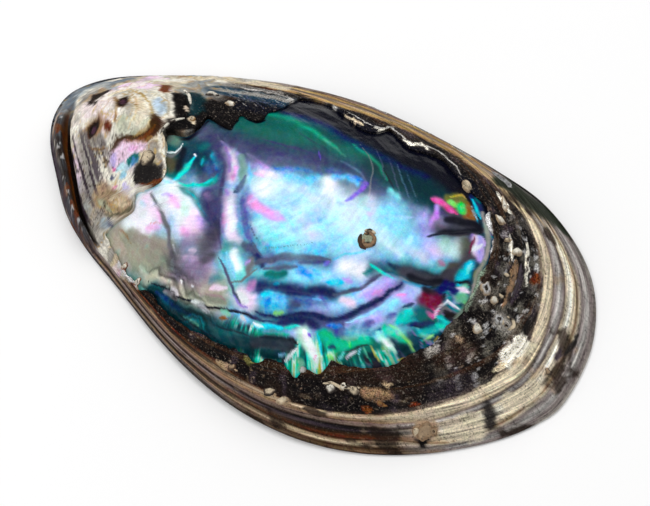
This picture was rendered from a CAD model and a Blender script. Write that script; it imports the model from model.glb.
"""Finish for an abalone shell: worn nacre, dark crust, spire, wrapped lip and what has grown on it.

Laid out as an add-on and run as a script. Plan coordinates are millimetres in the frame of
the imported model: +X from the spire to the growing edge, +Y to the breathing holes, +Z up.
"""

import math

import bmesh
import bpy
import numpy as np
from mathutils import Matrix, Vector


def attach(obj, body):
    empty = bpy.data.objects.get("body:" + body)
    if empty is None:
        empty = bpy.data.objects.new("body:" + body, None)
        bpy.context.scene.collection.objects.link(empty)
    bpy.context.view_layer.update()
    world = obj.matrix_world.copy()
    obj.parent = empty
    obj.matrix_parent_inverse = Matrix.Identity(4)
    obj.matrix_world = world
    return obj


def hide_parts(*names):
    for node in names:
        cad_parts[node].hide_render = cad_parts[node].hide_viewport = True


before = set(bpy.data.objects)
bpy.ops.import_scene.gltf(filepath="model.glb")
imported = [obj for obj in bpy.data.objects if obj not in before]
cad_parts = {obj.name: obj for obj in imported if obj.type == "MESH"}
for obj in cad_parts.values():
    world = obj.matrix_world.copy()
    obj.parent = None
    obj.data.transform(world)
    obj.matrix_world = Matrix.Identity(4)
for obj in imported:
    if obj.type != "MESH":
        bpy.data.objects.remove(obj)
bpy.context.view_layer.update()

bl_info = {
    "name": "Abalone Shell",
    "version": (1, 0, 0),
    "blender": (4, 5, 0),
    "location": "3D View > Sidebar > Abalone",
    "description": "Finishes the abalone shell: nacre, crust, spire, lip and what has grown on it",
    "category": "Object",
}

MM = 0.001

# The rim's outline on the resting plane, anticlockwise from the growing edge.
RIM = (
    (75.0, 0.0), (73.2, 15.0), (66.8, 28.0), (57.0, 37.0), (43.0, 43.3), (28.0, 45.0), (12.0, 45.1),
    (-4.0, 44.0), (-20.0, 40.6), (-34.0, 35.8), (-47.0, 29.4), (-59.0, 21.8), (-69.3, 13.6), (-74.6, 5.0),
    (-74.2, -3.0), (-69.8, -10.5), (-62.0, -17.8), (-53.0, -25.2), (-43.5, -30.0), (-30.0, -34.6),
    (-14.0, -40.2), (0.0, -43.8), (14.0, -45.1), (28.0, -43.6), (42.0, -38.4), (55.0, -29.8),
    (66.0, -18.8), (72.6, -8.6),
)

# The ragged edge where the crust is worn off the nacre, clockwise from the spire.
NACRE_EDGE = (
    (-34.1, -6.3), (-36.6, -4.2), (-34.6, -3.3), (-32.4, -3.0), (-30.7, -2.1), (-29.6, 0.0), (-29.5, 2.4),
    (-29.1, 4.3), (-24.5, 3.7), (-22.4, 4.0), (-22.9, 6.3), (-23.0, 8.9), (-21.2, 9.2), (-19.0, 9.4),
    (-17.9, 10.7), (-18.5, 13.5), (-17.5, 15.9), (-17.1, 19.1), (-17.5, 23.8), (-15.5, 26.5), (-13.0, 28.0),
    (-9.5, 27.6), (-5.8, 26.0), (-3.1, 25.4), (-0.1, 24.4), (2.8, 24.0), (4.7, 25.2), (5.5, 27.6),
    (6.1, 29.6), (8.8, 28.5), (12.0, 27.1), (15.0, 27.2), (17.8, 28.9), (21.0, 30.1), (24.9, 28.3),
    (28.7, 26.2),
    (32.6, 25.5), (35.3, 25.1), (37.6, 24.1), (38.1, 21.5), (40.1, 19.6), (42.2, 18.4), (43.8, 15.4),
    (45.4, 11.0), (45.0, 8.1), (45.9, 5.0), (46.6, 0.3), (47.1, -3.5), (46.1, -7.0), (45.9, -10.3),
    (45.4, -12.4), (43.4, -15.7), (42.4, -17.4), (40.9, -20.8), (38.3, -23.5), (34.6, -26.1),
    (30.9, -27.9), (28.5, -28.8), (27.3, -32.3), (24.4, -32.9), (22.8, -35.4), (19.6, -34.7),
    (16.0, -35.2), (13.7, -37.3), (9.6, -36.9), (4.3, -37.4), (-0.6, -37.5), (-5.3, -37.4), (-10.7, -37.0),
    (-16.8, -35.1), (-20.4, -34.0), (-23.3, -33.9), (-29.9, -31.5), (-37.2, -27.9), (-38.6, -26.6),
    (-36.2, -23.6), (-33.6, -21.4), (-34.8, -18.2), (-32.7, -16.8), (-29.9, -15.0), (-29.9, -12.1),
    (-32.2, -9.4),
)

MESH_CENTRE = (2.0, -4.0)
DOME_TOP = (-6.0, 2.0)
DOME_HEIGHT = 23.8
DOME_SWELL = 2.15
HOLLOW_RISE = 0.8

SPIRE = (-51.0, -2.0)
SPIRE_RADII = (17.0, 15.0)
SPIRE_HEIGHT = 5.2
LAYER_MIDDLE = (-49.0, -3.5)
LAYER_WIDTH = 3.1
WHORL_PITCH = 5.6
WHORL_DEPTH = 0.5
SLOT_FLOOR = 2.0
SLOT_LIP = 7.4
SLOT_MIDDLE = 6.0
SLOT_HALF_WIDTH = 1.3
SLOT_FROM = math.radians(176)
SLOT_TO = math.radians(213)

# How far in from the rim the slot and the worn edge come, as a share of their usual distance.
EDGE_SHARES = (
    (-180, 1.0), (-175, 0.94), (-169.5, 0.84), (-163.5, 0.73), (-157, 0.56), (-150, 0.43), (-140, 0.36),
    (-128, 0.37), (-113, 0.45), (-98, 0.58), (-87, 0.76), (-70, 1.0), (180, 1.0),
)

# Growth lines are copies of the rim shrunk towards the apex; each ledge drops the surface outwards.
APEX = (-57.0, -5.0)
GROWTH_LEDGES = (
    (0.80, 0.45), (0.822, 0.2), (0.845, 0.45), (0.868, 0.2), (0.889, 1.0), (0.906, 0.15), (0.925, 0.25),
    (0.938, 0.2), (0.950, 0.8), (0.964, 0.15), (0.978, 0.35), (0.989, 0.15),
)
LEDGE_SOFTNESS = 0.0024
FULL_GROWTH_REACH = 95.0
CRUST_HEIGHT = 0.9

# Broad swells of the nacre: x, y, half length, half width, turn in degrees, height.
SWELLS = (
    (-26.0, -19.0, 7.0, 4.2, -60.0, 1.1), (-17.5, -15.0, 9.0, 4.0, -62.0, 1.0),
    (-14.0, -7.0, 9.0, 3.4, -52.0, 1.3), (-25.0, -6.0, 6.5, 4.6, 20.0, 0.9),
    (2.0, -10.0, 10.0, 7.0, 10.0, 0.9), (20.0, -7.0, 8.0, 6.0, -10.0, 0.8),
    (-10.0, 12.0, 14.0, 6.0, 25.0, 0.7), (12.0, 18.0, 13.0, 5.5, 5.0, 0.7),
    (35.0, 4.0, 5.0, 4.0, 30.0, 1.0), (33.5, -9.0, 6.5, 4.2, 25.0, 1.1),
    (38.0, 15.5, 4.6, 3.6, 60.0, 1.0), (11.0, -24.0, 12.0, 3.6, 6.0, 1.0),
    (-6.0, -27.5, 7.0, 3.2, -6.0, 0.9), (20.5, -31.0, 5.0, 2.4, -55.0, 0.9),
)

# Furrows between the swells: depth, half width, then the line.
FURROWS = (
    (1.0, 1.3, ((-32.6, -16.8), (-25.9, -19.1), (-21.8, -23.0), (-18.7, -25.3), (-15.6, -27.7))),
    (1.0, 1.4, ((-23.4, -13.1), (-16.7, -15.8), (-11.5, -18.2), (-5.9, -23.0), (0.3, -27.8), (3.8, -28.8))),
    (1.1, 1.4, ((-22.1, 1.5), (-11.9, -7.1), (-7.3, -12.8), (-3.6, -16.0), (4.5, -18.4))),
    (1.2, 1.7, ((27.9, -4.7), (33.1, -3.4), (38.2, -0.7), (43.0, 3.0))),
    (1.0, 1.3, ((29.8, 8.0), (34.1, 12.2), (39.2, 17.4))),
    (1.0, 1.3, ((4.5, -25.3), (10.4, -22.4), (15.6, -19.9), (20.8, -17.5), (24.8, -13.2), (27.5, -8.6))),
    (0.9, 1.2, ((-21.4, -31.7), (-12.1, -32.0), (-3.2, -31.5), (8.3, -29.6), (19.5, -25.6), (25.1, -20.6),
                (29.9, -15.1), (33.0, -7.5))),
)

# The inner lip is a broad shelf at the spire and along the row of holes: direction in degrees, width.
LIP_WIDTHS = (
    (-180, 14.0), (-163, 11.0), (-150, 7.0), (-135, 3.6), (-110, 2.6), (-60, 2.4), (0, 2.3), (35, 2.6),
    (60, 3.6), (90, 5.0), (120, 6.5), (145, 9.5), (165, 13.0), (180, 14.0),
)
RIM_GAPS = (
    (-180, 0.0), (-150, 0.0), (-128, 0.7), (-95, 1.3), (-60, 0.9), (-38, 0.0), (22, 0.0), (48, 0.9),
    (85, 1.3), (118, 0.7), (140, 0.0), (180, 0.0),
)
LIP_ROUNDING = 0.6

# Breathing holes, open ones and ones grown shut: places, then radius or width, and rise or depth.
HOLE_SPOTS = ((33.0, 38.4), (21.0, 39.4), (9.0, 39.3), (-3.0, 38.0))
HOLE_RADIUS = 2.1
HOLE_GROWTH = 0.3
SHUT_HOLES = ((-14.5, 35.4), (-25.5, 31.4), (-35.5, 26.4), (-44.5, 20.4))
HOLE_COLLAR = (4.0, 0.7)
SHUT_DIMPLE = (1.7, 1.3)
# Pits and crazed places: x, y, size and depth. Hollow and scar: x, y, half length, half width, depth.
SPIRE_PITS = ((-55.5, -8.3, 1.7, 1.6), (-50.0, -2.5, 1.5, 1.4), (-37.4, -5.4, 2.1, 1.4))
CRAZED_SPOTS = ((-50.5, -14.5, 4.5), (-51.0, -18.0, 4.5), (-45.0, -12.0, 3.5), (-42.0, -23.5, 3.5))
SPIRE_HOLLOW = (-48.5, -2.5, 10.0, 9.0, 7.5)
MUSCLE_SCAR = (8.0, -5.0, 17.0, 13.0, 0.7)

NOISE_TABLE = np.random.default_rng(11).random((256, 256))
EVEN_ANGLES = np.linspace(-math.pi, math.pi, 1441)[:-1]


def smooth_step(low, high, value):
    """0 at the first limit and 1 at the second, with a smooth change between them."""
    t = np.clip((value - low) / (high - low), 0, 1)
    return t * t * (3 - 2 * t)


def noise(x, y):
    """Smooth noise from 0 to 1, about one hill or hollow for each unit."""
    x, y = np.asarray(x, float), np.asarray(y, float)
    column, row = np.floor(x).astype(int), np.floor(y).astype(int)
    fx, fy = x - column, y - row
    fx, fy = fx * fx * (3 - 2 * fx), fy * fy * (3 - 2 * fy)
    left, right = column % 256, (column + 1) % 256
    low, high = row % 256, (row + 1) % 256
    below = NOISE_TABLE[low, left] * (1 - fx) + NOISE_TABLE[low, right] * fx
    above = NOISE_TABLE[high, left] * (1 - fx) + NOISE_TABLE[high, right] * fx
    return below * (1 - fy) + above * fy


def rough_noise(x, y, size, octaves=4):
    """Layered noise from about -1 to 1, whose largest hills are size across."""
    total, weight, scale = 0.0, 0.5, 1.0 / size
    for octave in range(octaves):
        total = total + weight * (2 * noise(x * scale + 17.3 * octave, y * scale - 9.1 * octave) - 1)
        weight, scale = weight * 0.55, scale * 2.07
    return total * 1.3


def closed_curve(points, steps_per_span=24):
    """Points along a smooth closed curve through the given ones."""
    given = np.array(points, float)
    before, start = np.roll(given, 1, axis=0), given
    end, after = np.roll(given, -1, axis=0), np.roll(given, -2, axis=0)
    spans = []
    for t in np.arange(steps_per_span) / steps_per_span:
        spans.append(
            start
            + 0.5 * t * (end - before)
            + t**2 * (before - 2.5 * start + 2 * end - 0.5 * after)
            + 0.5 * t**3 * (3 * start - before - 3 * end + after)
        )
    return np.stack(spans, axis=1).reshape(-1, 2)


class Outline:
    """A closed plan curve, read as its distance from a centre in each direction."""

    def __init__(self, curve, centre):
        self.centre = centre
        offset = curve - np.array(centre)
        angle = np.arctan2(offset[:, 1], offset[:, 0])
        order = np.argsort(angle)
        self.angles = angle[order]
        self.reaches = np.hypot(*offset[order].T)

    def reach(self, angle):
        return np.interp(angle, self.angles, self.reaches, period=2 * math.pi)

    def share(self, x, y):
        """0 at the centre and 1 on the curve."""
        dx, dy = x - self.centre[0], y - self.centre[1]
        return np.hypot(dx, dy) / self.reach(np.arctan2(dy, dx))


def by_direction(table, angle):
    """A value that varies round the shell, from pairs of degrees and value."""
    degrees, values = zip(*table)
    return np.interp(np.degrees(angle), degrees, values)


def stretch_of(value, start, full, fade, end):
    """1 between full and fade, and 0 before the start and after the end."""
    return smooth_step(start, full, value) * (1 - smooth_step(fade, end, value))


def bump(x, y, spot, length, width=None, turn=0.0):
    """A smooth round or oval hill, 1 at its top."""
    c, s = math.cos(math.radians(turn)), math.sin(math.radians(turn))
    dx, dy = x - spot[0], y - spot[1]
    along, across = dx * c + dy * s, dy * c - dx * s
    return np.exp(-((along / length) ** 2) - (across / (width or length)) ** 2)


def distance_to_line(x, y, line):
    """Distance in plan to a bent line or a single point, and how far along it the nearest place is."""
    nearest, along = np.full(np.shape(x), 1e9), np.zeros(np.shape(x))
    spans = list(zip(line, line[1:] if len(line) > 1 else line))
    for number, ((ax, ay), (bx, by)) in enumerate(spans):
        dx, dy = bx - ax, by - ay
        t = np.clip(((x - ax) * dx + (y - ay) * dy) / max(dx * dx + dy * dy, 1e-9), 0, 1)
        away = np.hypot(x - ax - t * dx, y - ay - t * dy)
        along = np.where(away < nearest, (number + t) / len(spans), along)
        nearest = np.minimum(nearest, away)
    return nearest, along


RIM_CURVE = closed_curve(RIM)
RIM_FROM_TOP = Outline(RIM_CURVE, DOME_TOP)
RIM_FROM_APEX = Outline(RIM_CURVE, APEX)
RIM_FROM_MIDDLE = Outline(RIM_CURVE, MESH_CENTRE)
NACRE_FROM_MIDDLE = Outline(closed_curve(NACRE_EDGE, 8), MESH_CENTRE)
EDGE_CRUMBLE = 0.35


def inset(angle, inward):
    """Plan point at the given distance in from the rim, square to it."""
    step = 0.01
    reach = RIM_FROM_MIDDLE.reach(angle)
    change = RIM_FROM_MIDDLE.reach(angle + step) - RIM_FROM_MIDDLE.reach(angle - step)
    slant = np.hypot(1, change / (2 * step * reach))
    share = inward / np.maximum(reach, 1)
    reach = reach - inward * (1 + (slant - 1) * np.clip(1 - share, 0, 1))
    return MESH_CENTRE[0] + reach * np.cos(angle), MESH_CENTRE[1] + reach * np.sin(angle)


HOLLOW_CURVE = np.stack(inset(EVEN_ANGLES, by_direction(LIP_WIDTHS, EVEN_ANGLES)), axis=1)
HOLLOW_FROM_TOP = Outline(HOLLOW_CURVE, DOME_TOP)


def growth_and_spread(x, y):
    """Share of the way from the apex to the rim, and direction from the apex in radians."""
    return RIM_FROM_APEX.share(x, y), np.arctan2(y - APEX[1], x - APEX[0])


def dome(x, y):
    """Height of the plain dome without any relief."""
    return DOME_HEIGHT * (1 - np.clip(RIM_FROM_TOP.share(x, y), 0, 1) ** DOME_SWELL)


def nacre_relief(x, y):
    """Swells and furrows of the nacre, in millimetres."""
    height = np.zeros(np.shape(x))
    for sx, sy, length, width, turn, rise in SWELLS:
        height += rise * bump(x, y, (sx, sy), length, width, turn)
    for depth, half_width, line in FURROWS:
        height -= depth * np.exp(-((distance_to_line(x, y, line)[0] / half_width) ** 2))
    return height


def nacre_ripple(x, y):
    """Fine folds of the nacre, which run with the growth lines and fan out towards the near edge."""
    growth, spread = growth_and_spread(x, y)
    folds = rough_noise(growth * 30, spread * 5, 1.0, 3)
    fingers = rough_noise(spread * 42, growth * 3, 1.0, 3) * smooth_step(0.66, 0.80, growth)
    return 0.16 * folds + 0.3 * fingers + 0.12 * rough_noise(x, y, 3.0, 3)


def growth_relief(x, y):
    """Steps down towards the rim, one at each growth ledge, with fine lines between them."""
    growth, spread = growth_and_spread(x, y)
    reach = RIM_FROM_APEX.reach(spread)
    spacing = np.clip(reach / FULL_GROWTH_REACH, 0, 1) ** 1.5
    wander = 0.0035 * rough_noise(spread * 9, growth * 4, 1.0, 3)
    height = np.zeros(np.shape(x))
    for share, drop in GROWTH_LEDGES:
        edge = share + wander
        height += drop * (1 - smooth_step(edge - LEDGE_SOFTNESS, edge + LEDGE_SOFTNESS, growth))
    lines = rough_noise(growth * 260, spread * 1.5, 1.0, 2)
    lines += 0.5 * rough_noise(growth * 90, spread * 2, 1.0, 2)
    return height * spacing, 0.11 * lines * smooth_step(0.7, 0.85, growth) * np.clip(spacing, 0.3, 1)


def spire_relief(x, y):
    """The worn spire: a mound of thin worn layers with a spiral furrow running out from its middle."""
    dx, dy = (x - SPIRE[0]) / SPIRE_RADII[0], (y - SPIRE[1]) / SPIRE_RADII[1]
    mound = np.exp(-1.3 * (dx**2 + dy**2) ** 1.3)
    turns = np.hypot(x - SPIRE[0], y - SPIRE[1]) / WHORL_PITCH + np.arctan2(dy, dx) / (2 * math.pi)
    return SPIRE_HEIGHT * mound + WHORL_DEPTH * mound * np.cos(2 * math.pi * turns), mound


def worn_layers(x, y):
    """Worn-through layers near the spire: which layer shows, and how near its edge is, from 0 to 1."""
    level = np.hypot(x - LAYER_MIDDLE[0], y - LAYER_MIDDLE[1]) / LAYER_WIDTH
    level += 2.6 * rough_noise(x, y, 9.0, 4)
    layer = np.floor(level)
    edge = np.abs(level - layer - 0.5) * 2
    return layer, smooth_step(0.82, 0.98, edge), level - layer


def hole_relief(x, y):
    """A raised collar round each breathing hole, and a dimple in each one that has grown shut."""
    collar_radius, collar_rise = HOLE_COLLAR
    dimple_radius, dimple_depth = SHUT_DIMPLE
    height = np.zeros(np.shape(x))
    for spot in HOLE_SPOTS + SHUT_HOLES:
        height += collar_rise * bump(x, y, spot, collar_radius)
    for spot in SHUT_HOLES:
        height -= dimple_depth * bump(x, y, spot, dimple_radius)
    for sx, sy, radius, depth in SPIRE_PITS:
        height -= depth * bump(x, y, (sx, sy), radius)
    return height


def slot_shape(inward, angle):
    """How far a point is inside the slot, and inside the lip that stands beside it, from 0 to 1."""
    turn = np.mod(angle, 2 * math.pi)
    ends = stretch_of(turn, SLOT_FROM, SLOT_FROM + 0.15, SLOT_TO - 0.1, SLOT_TO)
    lip = stretch_of(inward, 0.0, 3.4, SLOT_MIDDLE - 1.0, SLOT_MIDDLE)
    across = np.abs(inward - SLOT_MIDDLE)
    walls = 1 - smooth_step(SLOT_HALF_WIDTH - 0.25, SLOT_HALF_WIDTH + 0.25, across)
    return ends * walls, ends * lip


def spire_side(x, y):
    """1 over the spire, where old layers show, and 0 over the crust of the growing side."""
    return 1 - smooth_step(-34.0, -26.0, x + 0.35 * (y - 5.0) * (y > 5.0) + 1.5 * rough_noise(x, y, 4.0, 2))


def grit(x, y):
    """How gritty the crust is, from 0 to 1."""
    growth, spread = growth_and_spread(x, y)
    place = band_place(growth + 0.006 * rough_noise(x, y, 1.6, 3), np.degrees(spread))
    return (1 - smooth_step(0.98, 1.05, place)) * (1 - spire_side(x, y))


def unbanded(x, y, inward, angle):
    """How far the spire's wear and the wrapped lip hide the growth bands."""
    slot, lip = slot_shape(inward / by_direction(EDGE_SHARES, angle), angle)
    return np.clip(spire_side(x, y) + slot + lip, 0, 1)


def worn_reach(angle):
    """Distance from the shell's middle to the crumbled edge of the crust."""
    reach = NACRE_FROM_MIDDLE.reach(angle)
    return reach + EDGE_CRUMBLE * rough_noise(reach * np.cos(angle), reach * np.sin(angle), 1.3, 3)


def smooth_height(x, y, inward, angle):
    """Height of the outside without the crust's thickness and without its small forms."""
    near_rim = 1 - smooth_step(0.0, 14.0, inward / by_direction(EDGE_SHARES, angle))
    return dome(x, y) + by_direction(RIM_GAPS, angle) * near_rim + growth_relief(x, y)[0]


def outer_height(x, y, inward, angle, on_nacre):
    """Height of the outer surface in millimetres."""
    height = smooth_height(x, y, inward, angle)
    inward = inward / by_direction(EDGE_SHARES, angle)
    lines = growth_relief(x, y)[1]
    mound = spire_relief(x, y)[0]
    crust = CRUST_HEIGHT * smooth_step(0.0, 5.0, inward)
    growth, spread = growth_and_spread(x, y)
    ribs = rough_noise(growth * 70, spread * 2.5, 1.0, 3)
    rough = 0.34 * rough_noise(x, y, 2.6, 4) + 0.22 * rough_noise(x, y, 0.9, 3) + 0.35 * ribs
    within = worn_layers(x, y)[2]
    flakes = 0.3 * within + 0.22 * rough_noise(x, y, 2.2, 3)
    over_spire = spire_side(x, y)
    fine_relief = rough * grit(x, y) + flakes * over_spire + lines * (1 - over_spire)
    crust += fine_relief * smooth_step(1.5, 5, inward)
    height += crust * (1 - on_nacre) + (nacre_relief(x, y) + nacre_ripple(x, y)) * on_nacre
    height += (mound * (1 - on_nacre) + hole_relief(x, y)) * smooth_step(3.0, 8.0, inward)
    slot, lip = slot_shape(inward, angle)
    height += lip * np.maximum(SLOT_LIP - height, 0) * 0.9
    return height + slot * (SLOT_FLOOR - height)


def from_scar(x, y):
    """Distance from the middle of the muscle scar, 1 on its wavy edge."""
    sx, sy, length, width, _ = MUSCLE_SCAR
    return np.hypot((x - sx) / length, (y - sy) / width) + 0.05 * rough_noise(x, y, 7.0, 3)


def hollow_height(x, y, angle, share):
    """Height of the inner surface, in millimetres."""
    height = (DOME_HEIGHT + HOLLOW_RISE) * (1 - np.clip(share, 0, 1) ** DOME_SWELL)
    sx, sy, length, width, rise = SPIRE_HOLLOW
    height += rise * bump(x, y, (sx, sy), length, width) * (1 - smooth_step(0.8, 1.0, share))
    inside = 1 - smooth_step(0.93, 1.05, from_scar(x, y))
    height -= MUSCLE_SCAR[4] * inside
    height += 0.22 * rough_noise(x, y, 2.4, 3) * inside
    waves = nacre_relief(x, y) * (1 - smooth_step(0.7, 0.95, share))
    height += 0.5 * waves + 0.16 * rough_noise(x, y, 6.0, 2) * (1 - smooth_step(0.9, 1.0, share))
    return height + by_direction(RIM_GAPS, angle) * smooth_step(0.7, 1.0, share)


def angle_of(x, y):
    """Direction of a point from the shell's middle."""
    return np.arctan2(y - MESH_CENTRE[1], x - MESH_CENTRE[0])


def inward_of(x, y):
    """How far a point is in from the rim, towards the shell's middle."""
    return RIM_FROM_MIDDLE.reach(angle_of(x, y)) - np.hypot(x - MESH_CENTRE[0], y - MESH_CENTRE[1])


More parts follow.
